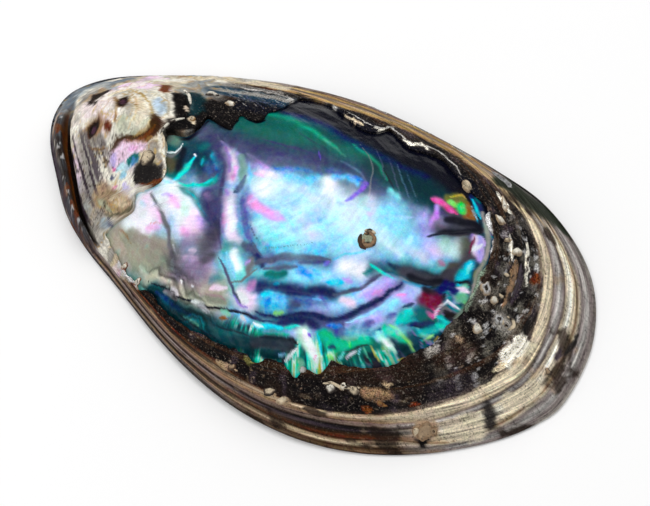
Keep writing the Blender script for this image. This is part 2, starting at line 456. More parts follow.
# Painted marks on the nacre: colour, half width, softness, strength, then x and y of each point.
NACRE_MARKS = (
    ("dark_teal", 7.3, 0.6, 1, -25.5, 3.5, -16.5, 8, -5, 11.5, 5.5, 13, 16, 14, 26, 17),
    ("ink", 5.9, 0.55, 1, -15.5, 22.5, -5, 24, 14.5, 25, 22.5, 26, 32.5, 25.5),
    ("slate_green", 8.6, 0.7, 1, -27.5, -1.5, -20.5, 3, -10.5, 5.5, -2.5, 8.5, 6, 10.5, 20.5, 11.5, 26.5,
     14.5),
    ("sea_green", 3.5, 0.8, 0.8, -21.5, 6.5, -15, 8.5, -7, 10.5),
    ("sea_green", 2.4, 0.8, 0.9, -17.5, 13, -11.5, 13.5, 1.5, 13.5, 7, 12.5),
    ("sea_green", 2, 0.8, 0.9, 4, 16, 10, 15.5, 15, 13.5, 18, 12),
    ("slate_violet", 3.1, 0.8, 0.9, -22.5, 0.5, -15, 1.5, -7, 4, 0, 8),
    ("slate_violet", 3.5, 0.8, 0.7, 6, 10, 13.5, 10.5, 20.5, 9.5),
    ("dark_teal", 3.9, 0.7, 1, 11.5, 16, 19, 16.5, 25.5, 17.5),
    ("ink", 4.7, 0.5, 1, -14.5, 21.5, -9, 23.5, 6, 23.5, 14, 24, 21, 26, 27.5, 25.5, 30.5, 25.5),
    ("ink", 2, 0.5, 1, -17, 20.5, -14, 25.5),
    ("deep_blue", 1.2, 0.9, 0.55, -15.5, 16, -11, 18.5, -5.5, 19, 1.5, 18, 8.5, 18, 15.5, 19, 21.5, 21),
    ("emerald", 1, 0.9, 0.45, -18, 13.5, -14.5, 15, -4.5, 15),
    ("emerald", 0.6, 0.9, 0.5, -8.5, 15.1, -3.6, 14.6, 1.5, 13.9),
    ("emerald", 0.6, 0.9, 0.5, 3.3, 17.2, 7.6, 16.6, 12.2, 15.7, 15.8, 13.6),
    ("green_mist", 0.5, 0.9, 0.4, -5.4, 14.8, -0.3, 14, 4.3, 13),
    ("slate_green", 0.4, 0.8, 0.8, -8.3, 12.4, -1.8, 12, 4.6, 11),
    ("slate_violet", 0.4, 0.8, 0.8, -14.6, 5.7, -7.8, 7.4, -1.2, 9.4),
    ("blue_grey", 0.4, 0.9, 0.5, 3.9, 11.2, 8.4, 11.1, 14.1, 9.3),
    ("smoke", 0.2, 0.7, 0.9, 4.6, 18.5, 8.3, 16.4, 11.4, 13.5, 13.9, 9.2, 16.2, 4.1, 18.6, -0.7),
    ("slate", 0.2, 0.7, 0.8, 8.6, 19.5, 12.7, 16.1, 15.9, 13),
    ("slate", 0.2, 0.7, 0.8, 12.2, 19.2, 20.5, 11.9),
    ("blue_grey", 0.2, 0.7, 0.6, 14.2, 19.4, 22.5, 12.3),
    ("blue_grey", 0.2, 0.7, 0.5, 17.2, 18.9, 24.7, 12.9),
    ("ink", 0.2, 0.7, 0.8, 13.2, 15.8, 17.1, 13.3, 20.3, 11),
    ("violet", 0.3, 0.7, 0.5, -1.8, 10.4, 0, 8.2),
    ("ink", 0.6, 0.6, 1, -32.1, -3.5, -29.9, -2.4, -28.9, 0.3, -28.7, 3.4),
    ("ink", 0.5, 0.6, 1, -27.7, 4.4, -24.7, 3.5, -22.1, 4, -22.7, 7.3),
    ("ink", 0.4, 0.6, 1, -22, 8.7, -18.6, 8.9, -17.3, 11.1),
    ("slate", 2.5, 0.7, 1, -27.5, 0.5, -23.5, -2.5),
    ("slate_violet", 1.5, 0.8, 0.8, -25.5, 0, -22, -2.5),
    ("ink", 1, 0.5, 1, -36, -4, -35, -5.5),
    ("bubble_grey", 1.5, 0.5, 1, -34, -4.5, -32.5, -4.5),
    ("green_mist", 0.5, 0.8, 0.35, -34.5, -3.5, -32.2, -4.2),
    ("olive_shade", 1.7, 0.6, 1, -31.5, -9, -29.5, -10),
    ("ink", 1.2, 0.7, 0.9, -29.5, -6, -27, -10.5),
    ("smoke", 0.5, 0.7, 1, -33.7, -8.1, -31, -8.1, -30.1, -5.8),
    ("white", 0.2, 0.5, 1, -35.1, -7, -33.2, -7.5, -31.1, -7.1, -30.4, -5.3, -30.6, -4.2),
    ("navy_teal", 3.7, 0.6, 1, -24.5, -6, -21, -7.5),
    ("slate", 1.5, 0.8, 0.9, -20.5, -10, -18, -9.5),
    ("blue_slate", 1.2, 0.8, 0.7, -21.5, -7, -19.5, -8.5),
    ("teal", 0.7, 0.8, 0.8, -23.3, -5.6, -22.3, -7.9),
    ("cyan", 0.6, 0.8, 1, -25.5, -6.2, -25.6, -9.8, -26.3, -11.8, -27.3, -13.3),
    ("aqua", 0.3, 0.7, 0.9, -25.6, -6.6, -25.5, -9.1, -25.9, -11.1),
    ("aqua", 0.5, 0.7, 1, -25.9, -12.8, -22.6, -12.4, -19.3, -11.6, -17.2, -10.1, -16.5, -8.3, -16.8, -6.1,
     -18.7, -4.3),
    ("emerald", 0.3, 0.8, 0.8, -21.3, -11.8, -18.2, -11.1, -16.8, -9.4),
    ("cyan", 0.7, 0.8, 0.9, -21.4, -4.6, -19.9, -5.4),
    ("blue", 0.8, 0.8, 0.8, -19, -5.5, -18.5, -7.5),
    ("white", 0.2, 0.6, 1, -26.3, -5.7, -25.1, -6.4),
    ("cyan", 0.4, 0.8, 0.6, -23.2, -6.1, -22.6, -7.8),
    ("aqua", 0.8, 0.8, 0.9, -25.5, -8, -26.5, -12),
    ("cyan", 1, 0.8, 0.9, -21.5, -4, -19.5, -5.5, -18, -7),
    ("aqua", 0.7, 0.8, 0.9, -19.3, -11.2, -17.4, -9.7, -17, -7.1),
    ("teal", 1.2, 0.8, 0.8, -25.5, -4, -24.5, -3),
    ("beige", 4.7, 0.6, 1, -35.5, -27, -25, -28.5, -13.5, -30.5, -3.5, -30.5),
    ("stone", 3.7, 0.8, 1, -25, -27.5, -19, -28),
    ("white", 3.7, 0.5, 1, -31.5, -20, -28.5, -21.5),
    ("white", 2, 0.5, 1, -34, -23, -30, -23.5),
    ("white_pink", 1.5, 0.7, 1, -31.5, -18, -25.5, -20.5),
    ("pink", 0.7, 0.8, 0.6, -27.2, -19.5, -24.4, -21.3),
    ("pink", 0.8, 0.8, 0.5, -28, -23.5, -24.5, -22.5),
    ("sky", 0.7, 0.8, 0.35, -32.3, -19.6, -30.4, -19.8),
    ("coral_line", 0.1, 0.6, 0.7, -27.5, -22.6, -25.6, -21.8, -24.2, -21.6),
    ("stone", 1.5, 0.5, 1, -32, -26, -26, -26, -20, -25.5),
    ("beige", 1, 0.8, 0.8, -34.5, -27, -28.5, -28.5, -23, -29.5),
    ("green_white", 0.7, 0.9, 0.4, -25.4, -30.3, -22.2, -30.6),
    ("copper", 0.2, 0.6, 0.6, -36.2, -24.9, -33.7, -25.6, -29.7, -27.2),
    ("white", 3.4, 0.6, 1, -26.5, -16.5, -21, -17.5, -18, -20),
    ("white_pink", 2.7, 0.7, 1, -17, -18.5, -14.5, -20.5),
    ("pink", 1, 0.8, 0.6, -25.5, -16.5, -22.5, -17.5),
    ("lilac", 1.1, 0.8, 0.6, -15.5, -18, -13.5, -19.5),
    ("green_white", 1, 0.8, 0.7, -22, -16.5, -19, -18.5),
    ("pink", 1, 0.8, 0.6, -18.5, -21.5, -16, -22),
    ("violet_grey", 2, 0.8, 0.8, -16, -23.5, -12, -22.5),
    ("smoke", 2, 0.8, 1, -11.5, -22, -11.5, -20),
    ("smoke", 2.5, 0.8, 1, -13.5, -28, -9.5, -27, -9.5, -24),
    ("white_pink", 0.9, 0.7, 0.9, -14.5, -26, -11, -25.5),
    ("white_pink", 0.6, 0.7, 0.8, -14.1, -24.5, -12.4, -24.4),
    ("smoke", 0.5, 0.6, 1, -31.2, -17.2, -28.2, -18.4, -25, -20.4, -22.4, -22.5, -20.6, -24.7, -17.5, -27,
     -14.8, -29.3),
    ("white", 0.2, 0.7, 0.9, -20, -24.3, -17.9, -25.7, -16.6, -26.1),
    ("green_white", 0.5, 0.8, 0.7, -17.8, -27.1, -16.5, -28.6),
    ("white", 1.2, 0.6, 1, -30.5, -13.5, -28, -14, -25, -14),
    ("sky", 0.5, 0.8, 0.7, -29.3, -13.9, -27, -13.7),
    ("violet", 0.4, 0.8, 0.4, -27.7, -16.6, -25.2, -16.2),
    ("teal_grey", 0.9, 0.7, 1, -24.5, -13.5, -21, -14, -18, -15, -12, -18),
    ("cyan", 0.2, 0.8, 0.6, -23.8, -13.3, -20.2, -14.2, -16.7, -15.8, -13.4, -17.1),
    ("slate_violet", 2.2, 0.6, 1, -17, -13, -14, -15, -11, -18),
    ("violet_grey", 1, 0.8, 0.7, -17.5, -13, -15.5, -13),
    ("slate", 0.5, 0.6, 1, -23.8, 1, -20.6, -1.8, -16.7, -6.3, -14.4, -10.7, -12.7, -14.8, -11, -18.1, -7.2,
     -21.6),
    ("lavender", 1, 0.7, 1, -21.5, 0, -19.5, -0.5, -16.5, -1.5),
    ("white_pink", 1.5, 0.6, 1, -19, -1.5, -16, -4.5, -14, -7.5),
    ("lilac", 0.6, 0.7, 0.8, -20.5, -0.2, -17.6, -3.4, -15.4, -6.8),
    ("white", 0.5, 0.7, 1, -16.4, -3.5, -14.2, -6.6),
    ("pink", 0.6, 0.7, 0.7, -15.4, -4.1, -13.3, -7.8),
    ("white_pink", 1.8, 0.5, 1, -12, -11.5, -7.5, -17, -4.5, -19),
    ("white", 1, 0.6, 1, -11.5, -11.5, -9.5, -14, -7, -16.5),
    ("pink", 0.7, 0.8, 0.7, -11.1, -15.1, -9.4, -17.1),
    ("lavender", 0.4, 0.8, 0.9, -11.3, -16, -9.4, -18, -6.8, -19.2),
    ("lilac", 0.5, 0.8, 0.8, -13.6, -10.3, -12.1, -11.1),
    ("green_grey", 1.1, 0.6, 1, -15.5, -1.5, -13, -4, -11.5, -6.5),
    ("bright_sky", 0.5, 0.8, 0.9, -13.2, -1.6, -10.8, -4.5, -9.2, -7.6, -6.9, -10.9),
    ("slate", 0.6, 0.5, 1, -11.8, -5.1, -11.2, -7.6, -11.6, -9.9),
    ("indigo", 0.8, 0.5, 1, -9.5, -9.5, -7, -12, -5, -14.5, -1.5, -17.5),
    ("sky", 7.3, 0.7, 1, -3, -5.5, 3, -5, 8.5, -7.5),
    ("lavender", 1.5, 0.8, 0.8, -12.5, -1.5, -9.5, -1),
    ("lilac", 0.7, 0.8, 0.8, -14.8, -0.1, -11.8, -0.3, -8.7, -0.3),
    ("white_pink", 1.2, 0.8, 0.8, -9, -2, -5.5, -1.5),
    ("pink", 0.7, 0.8, 0.6, -10.3, -3.6, -8, -2.8),
    ("blue", 0.8, 0.8, 0.8, -7, 0.5, -4, 2.5, 0, 4.5),
    ("bright_sky", 1.5, 0.8, 0.9, -3.5, -0.5, 0.5, 1.5, 2, 4),
    ("pink", 1.2, 0.7, 0.8, -7.5, -9, -5, -10, -1.5, -10, 1, -9.5),
    ("violet_pink", 0.9, 0.8, 0.8, -1.5, -10.5, 2.5, -9.5),
    ("white", 1.5, 0.8, 0.7, -6, -6, -0.5, -6),
    ("bright_sky", 0.5, 0.8, 0.8, -2.6, -12.2, 0.2, -12.1),
    ("pink", 1, 0.8, 0.7, -2.5, -14.5, 0, -15),
    ("violet_pink", 0.5, 0.8, 0.7, 0.5, -15.8, 2.8, -15.8),
    ("white", 0.5, 0.7, 0.8, -4.6, -13.4, -2.9, -14.1),
    ("bright_sky", 1.7, 0.8, 0.8, 2.5, -13, 6.5, -11),
    ("blue", 1, 0.9, 0.5, 2.5, -16, 6, -14.5),
    ("white", 1, 0.8, 0.6, -2.5, -3, -1.5, -1.5),
    ("indigo", 0.5, 0.8, 0.5, 0.4, 7.1, 2.7, 4.6),
    ("white", 7.3, 0.7, 1, 11.5, -1, 17.5, -0.5),
    ("white", 2.2, 0.7, 1, 5, 4.5, 7.5, 0.5),
    ("sky", 2.9, 0.8, 0.6, 10.5, -5.5, 12, -8.5),
    ("blue_slate", 1, 0.8, 0.7, 3, 7, 6, 8.5),
    ("bright_sky", 1.1, 0.8, 0.9, 5.5, 6.5, 8, 8, 10.5, 8),
    ("violet", 0.7, 0.7, 0.8, 11, 2.7, 11.9, 5.5, 12.5, 8.7),
    ("violet", 0.8, 0.7, 0.7, 12, 8, 12.5, 10),
    ("blue", 0.7, 0.8, 0.7, 8.9, 8.7, 11.2, 9.4),
    ("lavender", 1, 0.8, 0.5, 12.5, 2.5, 10.5, 1.5),
    ("white_pink", 2, 0.8, 0.7, 16, 6.5, 18.5, 4.5),
    ("pink", 0.7, 0.8, 0.5, 16.9, 3.4, 18.8, 2.2),
    ("sky", 2.9, 0.8, 0.8, 23, 4, 27, 2.5),
    ("blue_grey", 1.5, 0.8, 0.9, 20.5, 9, 24, 10.5, 27, 12),
    ("lilac", 0.6, 0.8, 0.8, 20.3, 5.1, 23.4, 7.1, 25.4, 9.2),
    ("aqua_pale", 1, 0.8, 0.8, 18, 11.5, 20.5, 11),
    ("white", 1.5, 0.8, 0.8, 23.5, 0, 27.5, -0.5),
    ("pink", 0.5, 0.8, 0.6, 26.9, 12, 28, 10.3),
    ("rose", 1.1, 0.8, 0.8, 27, 17.5, 32.5, 17.5),
    ("smoke_dark", 2.2, 0.7, 1, 31.5, 15, 35, 17),
    ("violet_pink", 0.7, 0.7, 0.9, 28.2, 15.6, 29.9, 12.2, 30.8, 7.7),
    ("slate_violet", 1.1, 0.7, 1, 30, 15, 32, 14),
    ("rose", 0.5, 0.5, 1, 26.5, 17.4, 28.8, 17.8, 31.1, 17.3, 32.9, 17.2),
    ("copper", 1.6, 0.4, 1, 31.5, 20, 33, 21, 35, 19),
    ("lime", 0.6, 0.6, 1, 29.5, 19.4, 31.1, 19.1),
    ("emerald_light", 0.8, 0.6, 1, 31.5, 21, 33, 19.5),
    ("ink", 0.7, 0.5, 1, 31.7, 25.9, 34.7, 25.7, 37.5, 23.4),
    ("blue", 0.6, 0.5, 1, 32.3, 24.5, 34.3, 24),
    ("sky", 0.2, 0.5, 1, 33.6, 22.4, 37.7, 18.5),
    ("cyan", 0.3, 0.5, 1, 36.5, 19.4, 38.6, 17.8),
    ("rose", 0.6, 0.6, 0.9, 31.7, 11.6, 32.7, 12.1),
    ("ink", 0.8, 0.6, 1, 33.5, 15.5, 36.5, 16.5, 39.5, 18.5),
    ("ink", 0.7, 0.5, 1, 31.2, 8.3, 33.7, 11, 36.5, 12.7, 38.8, 15.3, 39.8, 18.7),
    ("lavender", 1.5, 0.8, 0.8, 33, 6, 35, 5),
    ("smoke_dark", 1.5, 0.7, 1, 40.5, 10, 41.5, 7, 40, 4.5),
    ("olive_shade", 1, 0.8, 0.8, 39.5, 2.5, 40.5, 5.5),
    ("rose_grey", 0.8, 0.7, 0.9, 36.5, 3.5, 38, 3.5),
    ("sky", 1.2, 0.8, 0.8, 33, 1, 35, 2),
    ("slate_violet", 0.8, 0.7, 1, 28, -4, 31, -3.5, 33.5, -2, 35.5, -0.5),
    ("ink", 1.2, 0.6, 1, 36.5, -1, 39, 0.5, 41.5, 3.5, 42, 6.5),
    ("dark_teal", 0.7, 0.7, 1, 38.1, -2.7, 40.6, 0.3),
    ("bright_sky", 0.6, 0.7, 1, 32.3, -5.6, 35.2, -4.2, 38, -2.4),
    ("white", 0.4, 0.7, 0.9, 30.9, -5.1, 33.3, -4.6),
    ("wine", 1.2, 0.5, 1, 38, -5, 40.5, -3),
    ("ink", 0.7, 0.7, 0.9, 41.6, -3.9, 41.9, -1.7),
    ("rose", 0.7, 0.6, 1, 39.4, -6.4, 41.6, -6.3),
    ("deep_blue", 0.7, 0.6, 1, 41.3, -0.7, 41.8, 1.4, 43.5, 0.1),
    ("violet", 0.6, 0.6, 1, 39.1, 12.6, 39, 15),
    ("lilac", 0.6, 0.6, 1, 40.6, 16.1, 42.6, 14.8),
    ("white_pink", 1.2, 0.8, 0.8, 40.5, 14.5, 43.5, 11.5),
    ("cyan", 1, 0.7, 0.9, 42.5, 9.5, 43.5, 4.5),
    ("lavender", 1, 0.8, 0.7, 45, 0.5, 44.5, -2),
    ("aqua", 0.7, 0.8, 0.8, 42.7, -7.2, 45.5, -6.5),
    ("olive", 0.3, 0.5, 1, 44.5, 8.6, 44.7, 6.1),
    ("green_mist", 1, 0.6, 1, 44, 1.5, 46, 0),
    ("lime", 0.4, 0.6, 0.9, 45.4, 0.1, 46.6, -0.5),
    ("smoke_dark", 1, 0.5, 1, 44, -4.5, 46.5, -4.5, 47.5, -3),
    ("white", 0.2, 0.5, 1, 42.5, -6, 42.2, -4.3, 43.1, -2.3, 44.8, -2.3, 46.7, -2.7, 47.4, -0.9),
    ("indigo", 2.2, 0.9, 0.7, -9, -9.5, -5, -14, -1, -17.5),
    ("slate_violet", 2, 0.9, 0.8, -21.5, -2, -16, -8.5, -13, -15.5, -9.5, -21),
    ("slate", 1.5, 0.9, 0.7, -21, 1, -12.5, -0.5, -5, 3.5, 1, 6),
    ("slate_violet", 2, 0.9, 0.7, 1.5, -20, 8.5, -16, 16, -12.5),
    ("navy", 2, 0.9, 0.8, 5, -25, 14.5, -20.5, 21.5, -17),
    ("slate_violet", 1.2, 0.9, 0.7, 8, -29, 17.5, -25.5, 25.5, -20.5, 29.5, -14.5, 32.5, -6.5),
    ("navy", 1.7, 0.9, 0.8, 13, -28.5, 22, -24.5, 28, -20.5),
    ("smoke_dark", 2, 0.9, 0.7, -18, -26.5, -14.5, -30),
    ("violet_grey", 2.7, 0.9, 0.7, -13, -26.5, -8, -27, -9, -22.5),
    ("smoke_dark", 1.7, 0.9, 0.7, -10.5, -23, -11, -19),
    ("dark_teal", 2, 0.9, 0.7, 25.5, -7.5, 31.5, -3.5, 37.5, -1),
    ("smoke_dark", 2, 0.9, 0.6, 33.5, 9, 38.5, 12.5, 41.5, 9),
    ("bright_sky", 2, 0.8, 0.9, 6.5, -15, 13, -11),
    ("navy", 0.9, 0.7, 1, -1.5, -18, 2, -19, 4, -20.5),
    ("slate", 0.8, 0.5, 1, 2.5, -20.5, 4, -18.5, 6.5, -16.5, 10.5, -14.5, 14, -12.5, 16.5, -11.5),
    ("slate_violet", 0.5, 0.6, 1, 10.9, -15.5, 16.8, -11.9),
    ("cyan", 0.3, 0.8, 0.8, 16.8, -11.2, 18.6, -8.6, 21.2, -6.2, 23, -4.1),
    ("violet", 0.5, 0.7, 0.9, 16.6, -11.8, 15.8, -13.3),
    ("sky", 2.2, 0.8, 1, 12, -17.5, 16.5, -15.5, 22, -13.5),
    ("blue", 1, 0.8, 0.8, 11.5, -16.5, 14.5, -17),
    ("bright_sky", 0.7, 0.8, 0.8, 14, -15.2, 17.4, -16.1),
    ("cyan", 0.8, 0.8, 0.8, 19, -16, 21.5, -14),
    ("white", 2, 0.8, 1, 20, -10.5, 23, -9.5),
    ("violet_pink", 0.7, 0.8, 0.6, 21.3, -13, 23.2, -12.6),
    ("teal", 1.1, 0.7, 1, 6, -21.5, 9.5, -19),
    ("slate", 0.7, 0.7, 0.9, 4.6, -20.9, 8.4, -17.9, 11.1, -16.6),
    ("cyan", 0.5, 0.8, 0.9, 8.6, -22.2, 9.7, -21.4),
    ("teal", 0.7, 0.8, 0.9, 24, -9.6, 25.9, -7.5),
    ("aqua", 0.5, 0.7, 0.9, 24.6, -7.3, 27.3, -7.2, 30.4, -6.9),
    ("navy", 1.5, 0.6, 1, 7, -24.5, 11, -22.5, 14.5, -21),
    ("navy", 1.1, 0.6, 1, 14, -21, 18, -18.5, 21.5, -17),
    ("slate", 0.6, 0.5, 1, 21.4, -17.1, 23.7, -14.9, 25.3, -12.3, 26.5, -9.6, 27.8, -7.9),
    ("blue_slate", 1.5, 0.7, 1, 14.5, -24, 20, -20),
    ("slate", 0.7, 0.8, 0.8, 12.8, -24, 16.5, -23.7),
    ("bright_sky", 0.5, 0.8, 0.6, 17.8, -20.8, 19.9, -19.7),
    ("white_pink", 2.2, 0.6, 1, 3, -28, 5.5, -28),
    ("pink", 1, 0.7, 0.7, 4, -25.5, 4.5, -24.5),
    ("white", 1, 0.6, 1, 2, -28, 5, -28),
    ("violet", 0.3, 0.8, 0.7, 0.6, -28.2, 2.9, -29.2, 5.8, -29.2),
    ("bright_sky", 2, 0.6, 1, 9, -25.5, 12, -25),
    ("cyan", 0.7, 0.8, 0.8, 7.6, -25.3, 9.1, -24.1),
    ("blue", 0.7, 0.8, 0.6, 9.5, -25.3, 9.9, -27.1),
    ("lime", 0.4, 0.8, 0.9, 11.7, -26.8, 13.6, -25.9),
    ("sky", 1.2, 0.8, 0.9, 23, -19, 28, -14.5),
    ("white_pink", 1.1, 0.8, 0.9, 24, -17, 26, -16.5),
    ("lilac", 1.5, 0.8, 0.8, 28, -13, 29.5, -10.5, 30.5, -8.5),
    ("pink", 0.6, 0.8, 0.6, 28.8, -12.7, 30, -10.4),
    ("navy", 0.5, 0.4, 1, 7.7, -28.7, 13.2, -26.9, 19.4, -23.9, 24.6, -20.7, 26.8, -17.8, 29, -14.6, 31,
     -11.1, 32.1, -8.2, 32.5, -5.8),
    ("sky", 0.4, 0.7, 0.9, 26.5, -20.2, 29.4, -16.4, 31.5, -13, 32.7, -9.5),
    ("navy", 0.9, 0.6, 1, 14, -28, 18, -26, 22, -24.5),
    ("indigo", 1.2, 0.7, 1, 23, -24.5, 26, -23.5, 28.5, -21),
    ("blue", 0.6, 0.8, 0.8, 23.3, -23.2, 26.5, -21.4),
    ("lavender", 0.7, 0.8, 0.7, 27.1, -20.7, 28.3, -18.4),
    ("navy", 0.4, 0.5, 1, -0.1, -31.5, 6.9, -30.1, 12.8, -28.4),
    ("cyan", 0.7, 0.6, 1, 9.2, -30.9, 12.5, -30, 15.6, -28.9),
    ("white", 0.4, 0.7, 0.9, 8.5, -30.7, 11.1, -30.4),
    ("aqua", 0.5, 0.7, 0.9, 16, -28.7, 18.2, -26.9),
    ("white", 2.2, 0.9, 0.7, -6.5, -5.5, -1.5, -4.5, 3.5, -4.5),
    ("white", 2, 0.9, 0.6, -1.5, -13, 3.5, -12, 8.5, -12),
    ("white_pink", 1.5, 0.9, 0.6, 1, -1, 4.5, -1.5, 8, -3.5),
    ("pink", 1, 0.9, 0.6, -6, -9.5, -2.5, -10, 1.5, -10),
    ("violet_pink", 0.6, 0.9, 0.7, -2.7, -11.1, 1, -10.8),
    ("sky", 1.7, 0.9, 0.7, 11.5, -7.5, 17.5, -6.5, 21.5, -4.5),
    ("white", 1.7, 0.9, 0.7, 19.5, 1, 23.5, 1.5, 26.5, 2.5),
    ("white", 2.9, 0.9, 0.75, -7, -5, -1, -2.5),
    ("aqua_pale", 2, 0.9, 0.6, -0.5, -14.5, 9, -13),
    ("white_pink", 2, 0.9, 0.7, 4, -6, 10.5, -8.5),
    ("pink", 1.2, 0.9, 0.6, -7, -9.5, -3, -10, 1, -10),
    ("sky", 2.9, 0.9, 0.8, 21, 7.5, 28, 4),
    ("lavender", 2.2, 0.9, 0.8, 27.5, 9.5, 33, 4.5),
    ("white_pink", 1.5, 0.9, 0.7, 28, 2, 33, 2),
    ("green_white", 1.5, 0.9, 0.5, 35, 6.5, 38.5, 7.5),
    ("lavender", 1.2, 0.9, 0.7, 33.5, -9, 36, -8),
    ("white", 1.2, 0.9, 0.7, 20.5, -10.5, 23, -10),
    ("white_pink", 1, 0.9, 0.8, 23.5, -17, 26, -16),
    ("teal_grey", 1.5, 0.8, 0.9, -6.5, -20.5, -2.5, -19.5),
    ("slate", 1, 0.7, 0.9, -2.5, -18.5, 0.5, -18.5),
    ("white", 1.4, 0.7, 1, -3.5, -21.5, -1, -23),
    ("sky", 0.6, 0.7, 0.9, -5.5, -21.9, -2.4, -23.5, -0.2, -25.4),
    ("smoke", 1.1, 0.7, 1, 1, -20.5, 2, -23),
    ("lilac", 0.5, 0.8, 0.7, 0.5, -21.9, 0.8, -20.7),
    ("slate", 0.4, 0.5, 1, -6.5, -23.3, -3.8, -24.4, -1.6, -26.3, 0.7, -28, 3.6, -28.9),
    ("smoke", 0.3, 0.5, 1, -0.8, -26.6, 1.3, -25.6, 2.5, -23.6, 3.3, -21.4),
    ("slate", 0.3, 0.6, 1, -1.4, -17.2, 0.9, -18, 2.6, -18.4),
    ("smoke_dark", 1.2, 0.8, 0.8, -9, -25, -8, -23.5),
    ("teal_grey", 1, 0.8, 0.9, -5, -28, -3.5, -27),
    ("white", 0.2, 0.5, 1, -13.2, -29.8, -12.1, -30.1),
    ("white", 0.2, 0.5, 1, -9.9, -29.8, -9, -29.9),
    ("white_pink", 0.6, 0.7, 0.9, -4.4, -29.3, -1.2, -28.2),
    ("rose_grey", 0.3, 0.7, 0.7, -5.6, -30.6, 0, -29.9),
    ("teal_grey", 0.1, 0.6, 0.8, 1.5, -17.2, 5, -15, 8.8, -12.4, 11.9, -9.8),
    ("slate", 0.1, 0.6, 0.8, -4.1, -14.1, -2, -15.5, 0.1, -16.5),
    ("dark_teal", 2.2, 0.5, 1, -19.5, -33.5, -10, -35.5, 0.5, -36, 10.5, -35),
    ("teal", 0.8, 0.8, 0.7, -16, -34, -6.5, -35.5, 3, -35, 8, -33.5),
    ("deep_blue", 0.6, 0.8, 0.7, -18.4, -33.4, -12.8, -34.5, -7.1, -34.9),
    ("stone", 0.8, 0.6, 1, -17, -31, -8, -31.5, 0, -30.5),
    ("ink", 0.3, 0.5, 1, -21.9, -31.8, -12.3, -32.6, -3.5, -32.4, 3.5, -30.9, 8.4, -29.7),
    ("smoke", 0.6, 0.5, 1, -16.4, -32.8, -11.8, -33.2),
    ("white_grey", 0.6, 0.4, 1, -14.9, -31.8, -12.1, -32.4),
    ("white_grey", 0.7, 0.4, 1, -8.1, -32.5, -5.7, -32.6, -3.6, -33.1),
    ("white_grey", 0.4, 0.4, 1, -5.4, -33.1, -2.3, -33.3),
    ("green_mist", 0.6, 0.5, 0.9, 0, -32, 2.5, -31.9),
    ("copper", 0.4, 0.4, 1, 0.6, -33.3, 2.5, -32.7),
    ("white_grey", 0.6, 0.4, 0.9, 4.9, -31.3, 6.9, -31.7),
    ("green_mist", 0.4, 0.6, 0.7, -8.3, -35.8, -3.9, -36.1),
    ("sea_green", 0.3, 0.6, 1, -9.7, -37.1, -0.4, -38.2, 7, -37.5, 10.5, -36.9),
    ("ink", 0.2, 0.5, 0.9, -0.5, -34.7, 5.5, -34.1, 9.2, -33.4),
    ("ink", 0.2, 0.5, 0.8, -12.8, -35.3, -4.5, -36.5, 3.5, -36.7),
    ("emerald", 0.3, 0.7, 0.8, 10.2, -32.4, 14.5, -31, 17.6, -28.9),
    ("plum_black", 1.5, 0.5, 1, 11, -34, 15, -32.5, 18.5, -31),
    ("ink", 0.4, 0.5, 1, 10.6, -33, 15, -31.6, 18.3, -29.6, 20.1, -30.1),
    ("dark_teal", 1, 0.6, 1, 13.5, -35, 17.5, -33.5),
    ("sky", 0.4, 0.6, 0.8, 17.4, -33.5, 18.4, -32.5),
    ("emerald", 1.7, 0.6, 1, 24, -25.5, 27.5, -25.5, 33, -21),
    ("sea_green", 1.2, 0.7, 1, 29.5, -26.5, 33, -23.5, 36, -20.5),
    ("green_grey", 0.8, 0.8, 0.8, 28, -23, 30.5, -21),
    ("green_white", 1.5, 0.5, 1, 19.5, -27.5, 22, -29, 24.5, -30),
    ("white", 0.8, 0.5, 1, 19.5, -27, 21.5, -28.5, 25.5, -30.5),
    ("cyan", 0.3, 0.7, 0.9, 22.1, -25.9, 24.2, -27.4, 25.7, -29.1),
    ("violet", 0.4, 0.6, 0.9, 20.8, -27.2, 21.6, -27.6),
    ("rose", 0.2, 0.7, 0.7, 24.7, -30.5, 24.7, -29.3),
    ("white", 0.4, 0.4, 1, 18.9, -33.6, 20.2, -30.7),
    ("green_mist", 0.6, 0.5, 1, 21.1, -32.1, 22.7, -32.7, 22.8, -34.5),
    ("navy", 0.6, 0.7, 0.9, 26.2, -26.6, 27.7, -26),
    ("lime", 0.6, 0.8, 0.8, 26.8, -28.3, 28.5, -27.7),
    ("lime", 0.3, 0.8, 0.7, 29.5, -22.6, 30.9, -23.9),
    ("plum_black", 0.3, 0.7, 0.9, 29.8, -25.5, 31.7, -23.4, 33.7, -21.5),
    ("white_pink", 0.3, 0.6, 0.9, 30.7, -26.4, 31.9, -23.7),
    ("aqua_pale", 0.4, 0.6, 0.9, 29.6, -27.2, 29.9, -25.2),
    ("sky", 0.2, 0.6, 0.9, 32.7, -24.5, 32.5, -23),
    ("dark_teal", 0.7, 0.7, 1, 34.4, -23.3, 36.3, -22.9),
    ("gold", 0.2, 0.6, 1, 34.1, -21.3, 37.8, -23.2),
    ("green_mist", 0.3, 0.7, 0.9, 32.8, -22.6, 35, -23.8),
    ("indigo", 1.1, 0.6, 1, 30.5, -19.5, 31.5, -17),
    ("deep_blue", 0.8, 0.6, 1, 31.5, -19.5, 33, -19, 34, -17),
    ("lavender", 1, 0.8, 0.9, 31, -16, 33, -15.5),
    ("emerald", 1, 0.7, 1, 34.5, -16, 40, -16),
    ("green_white", 0.9, 0.6, 1, 34, -18, 39, -19),
    ("white", 0.4, 0.6, 1, 35, -18.2, 38.2, -18.9),
    ("sea_green", 0.6, 0.7, 0.9, 33.4, -19.9, 36.3, -20.6),
    ("lime", 0.5, 0.7, 0.9, 35.3, -15, 38, -15, 40.7, -15.3, 42.8, -16),
    ("rose_grey", 0.4, 0.6, 1, 36.8, -15.2, 38.3, -15.8),
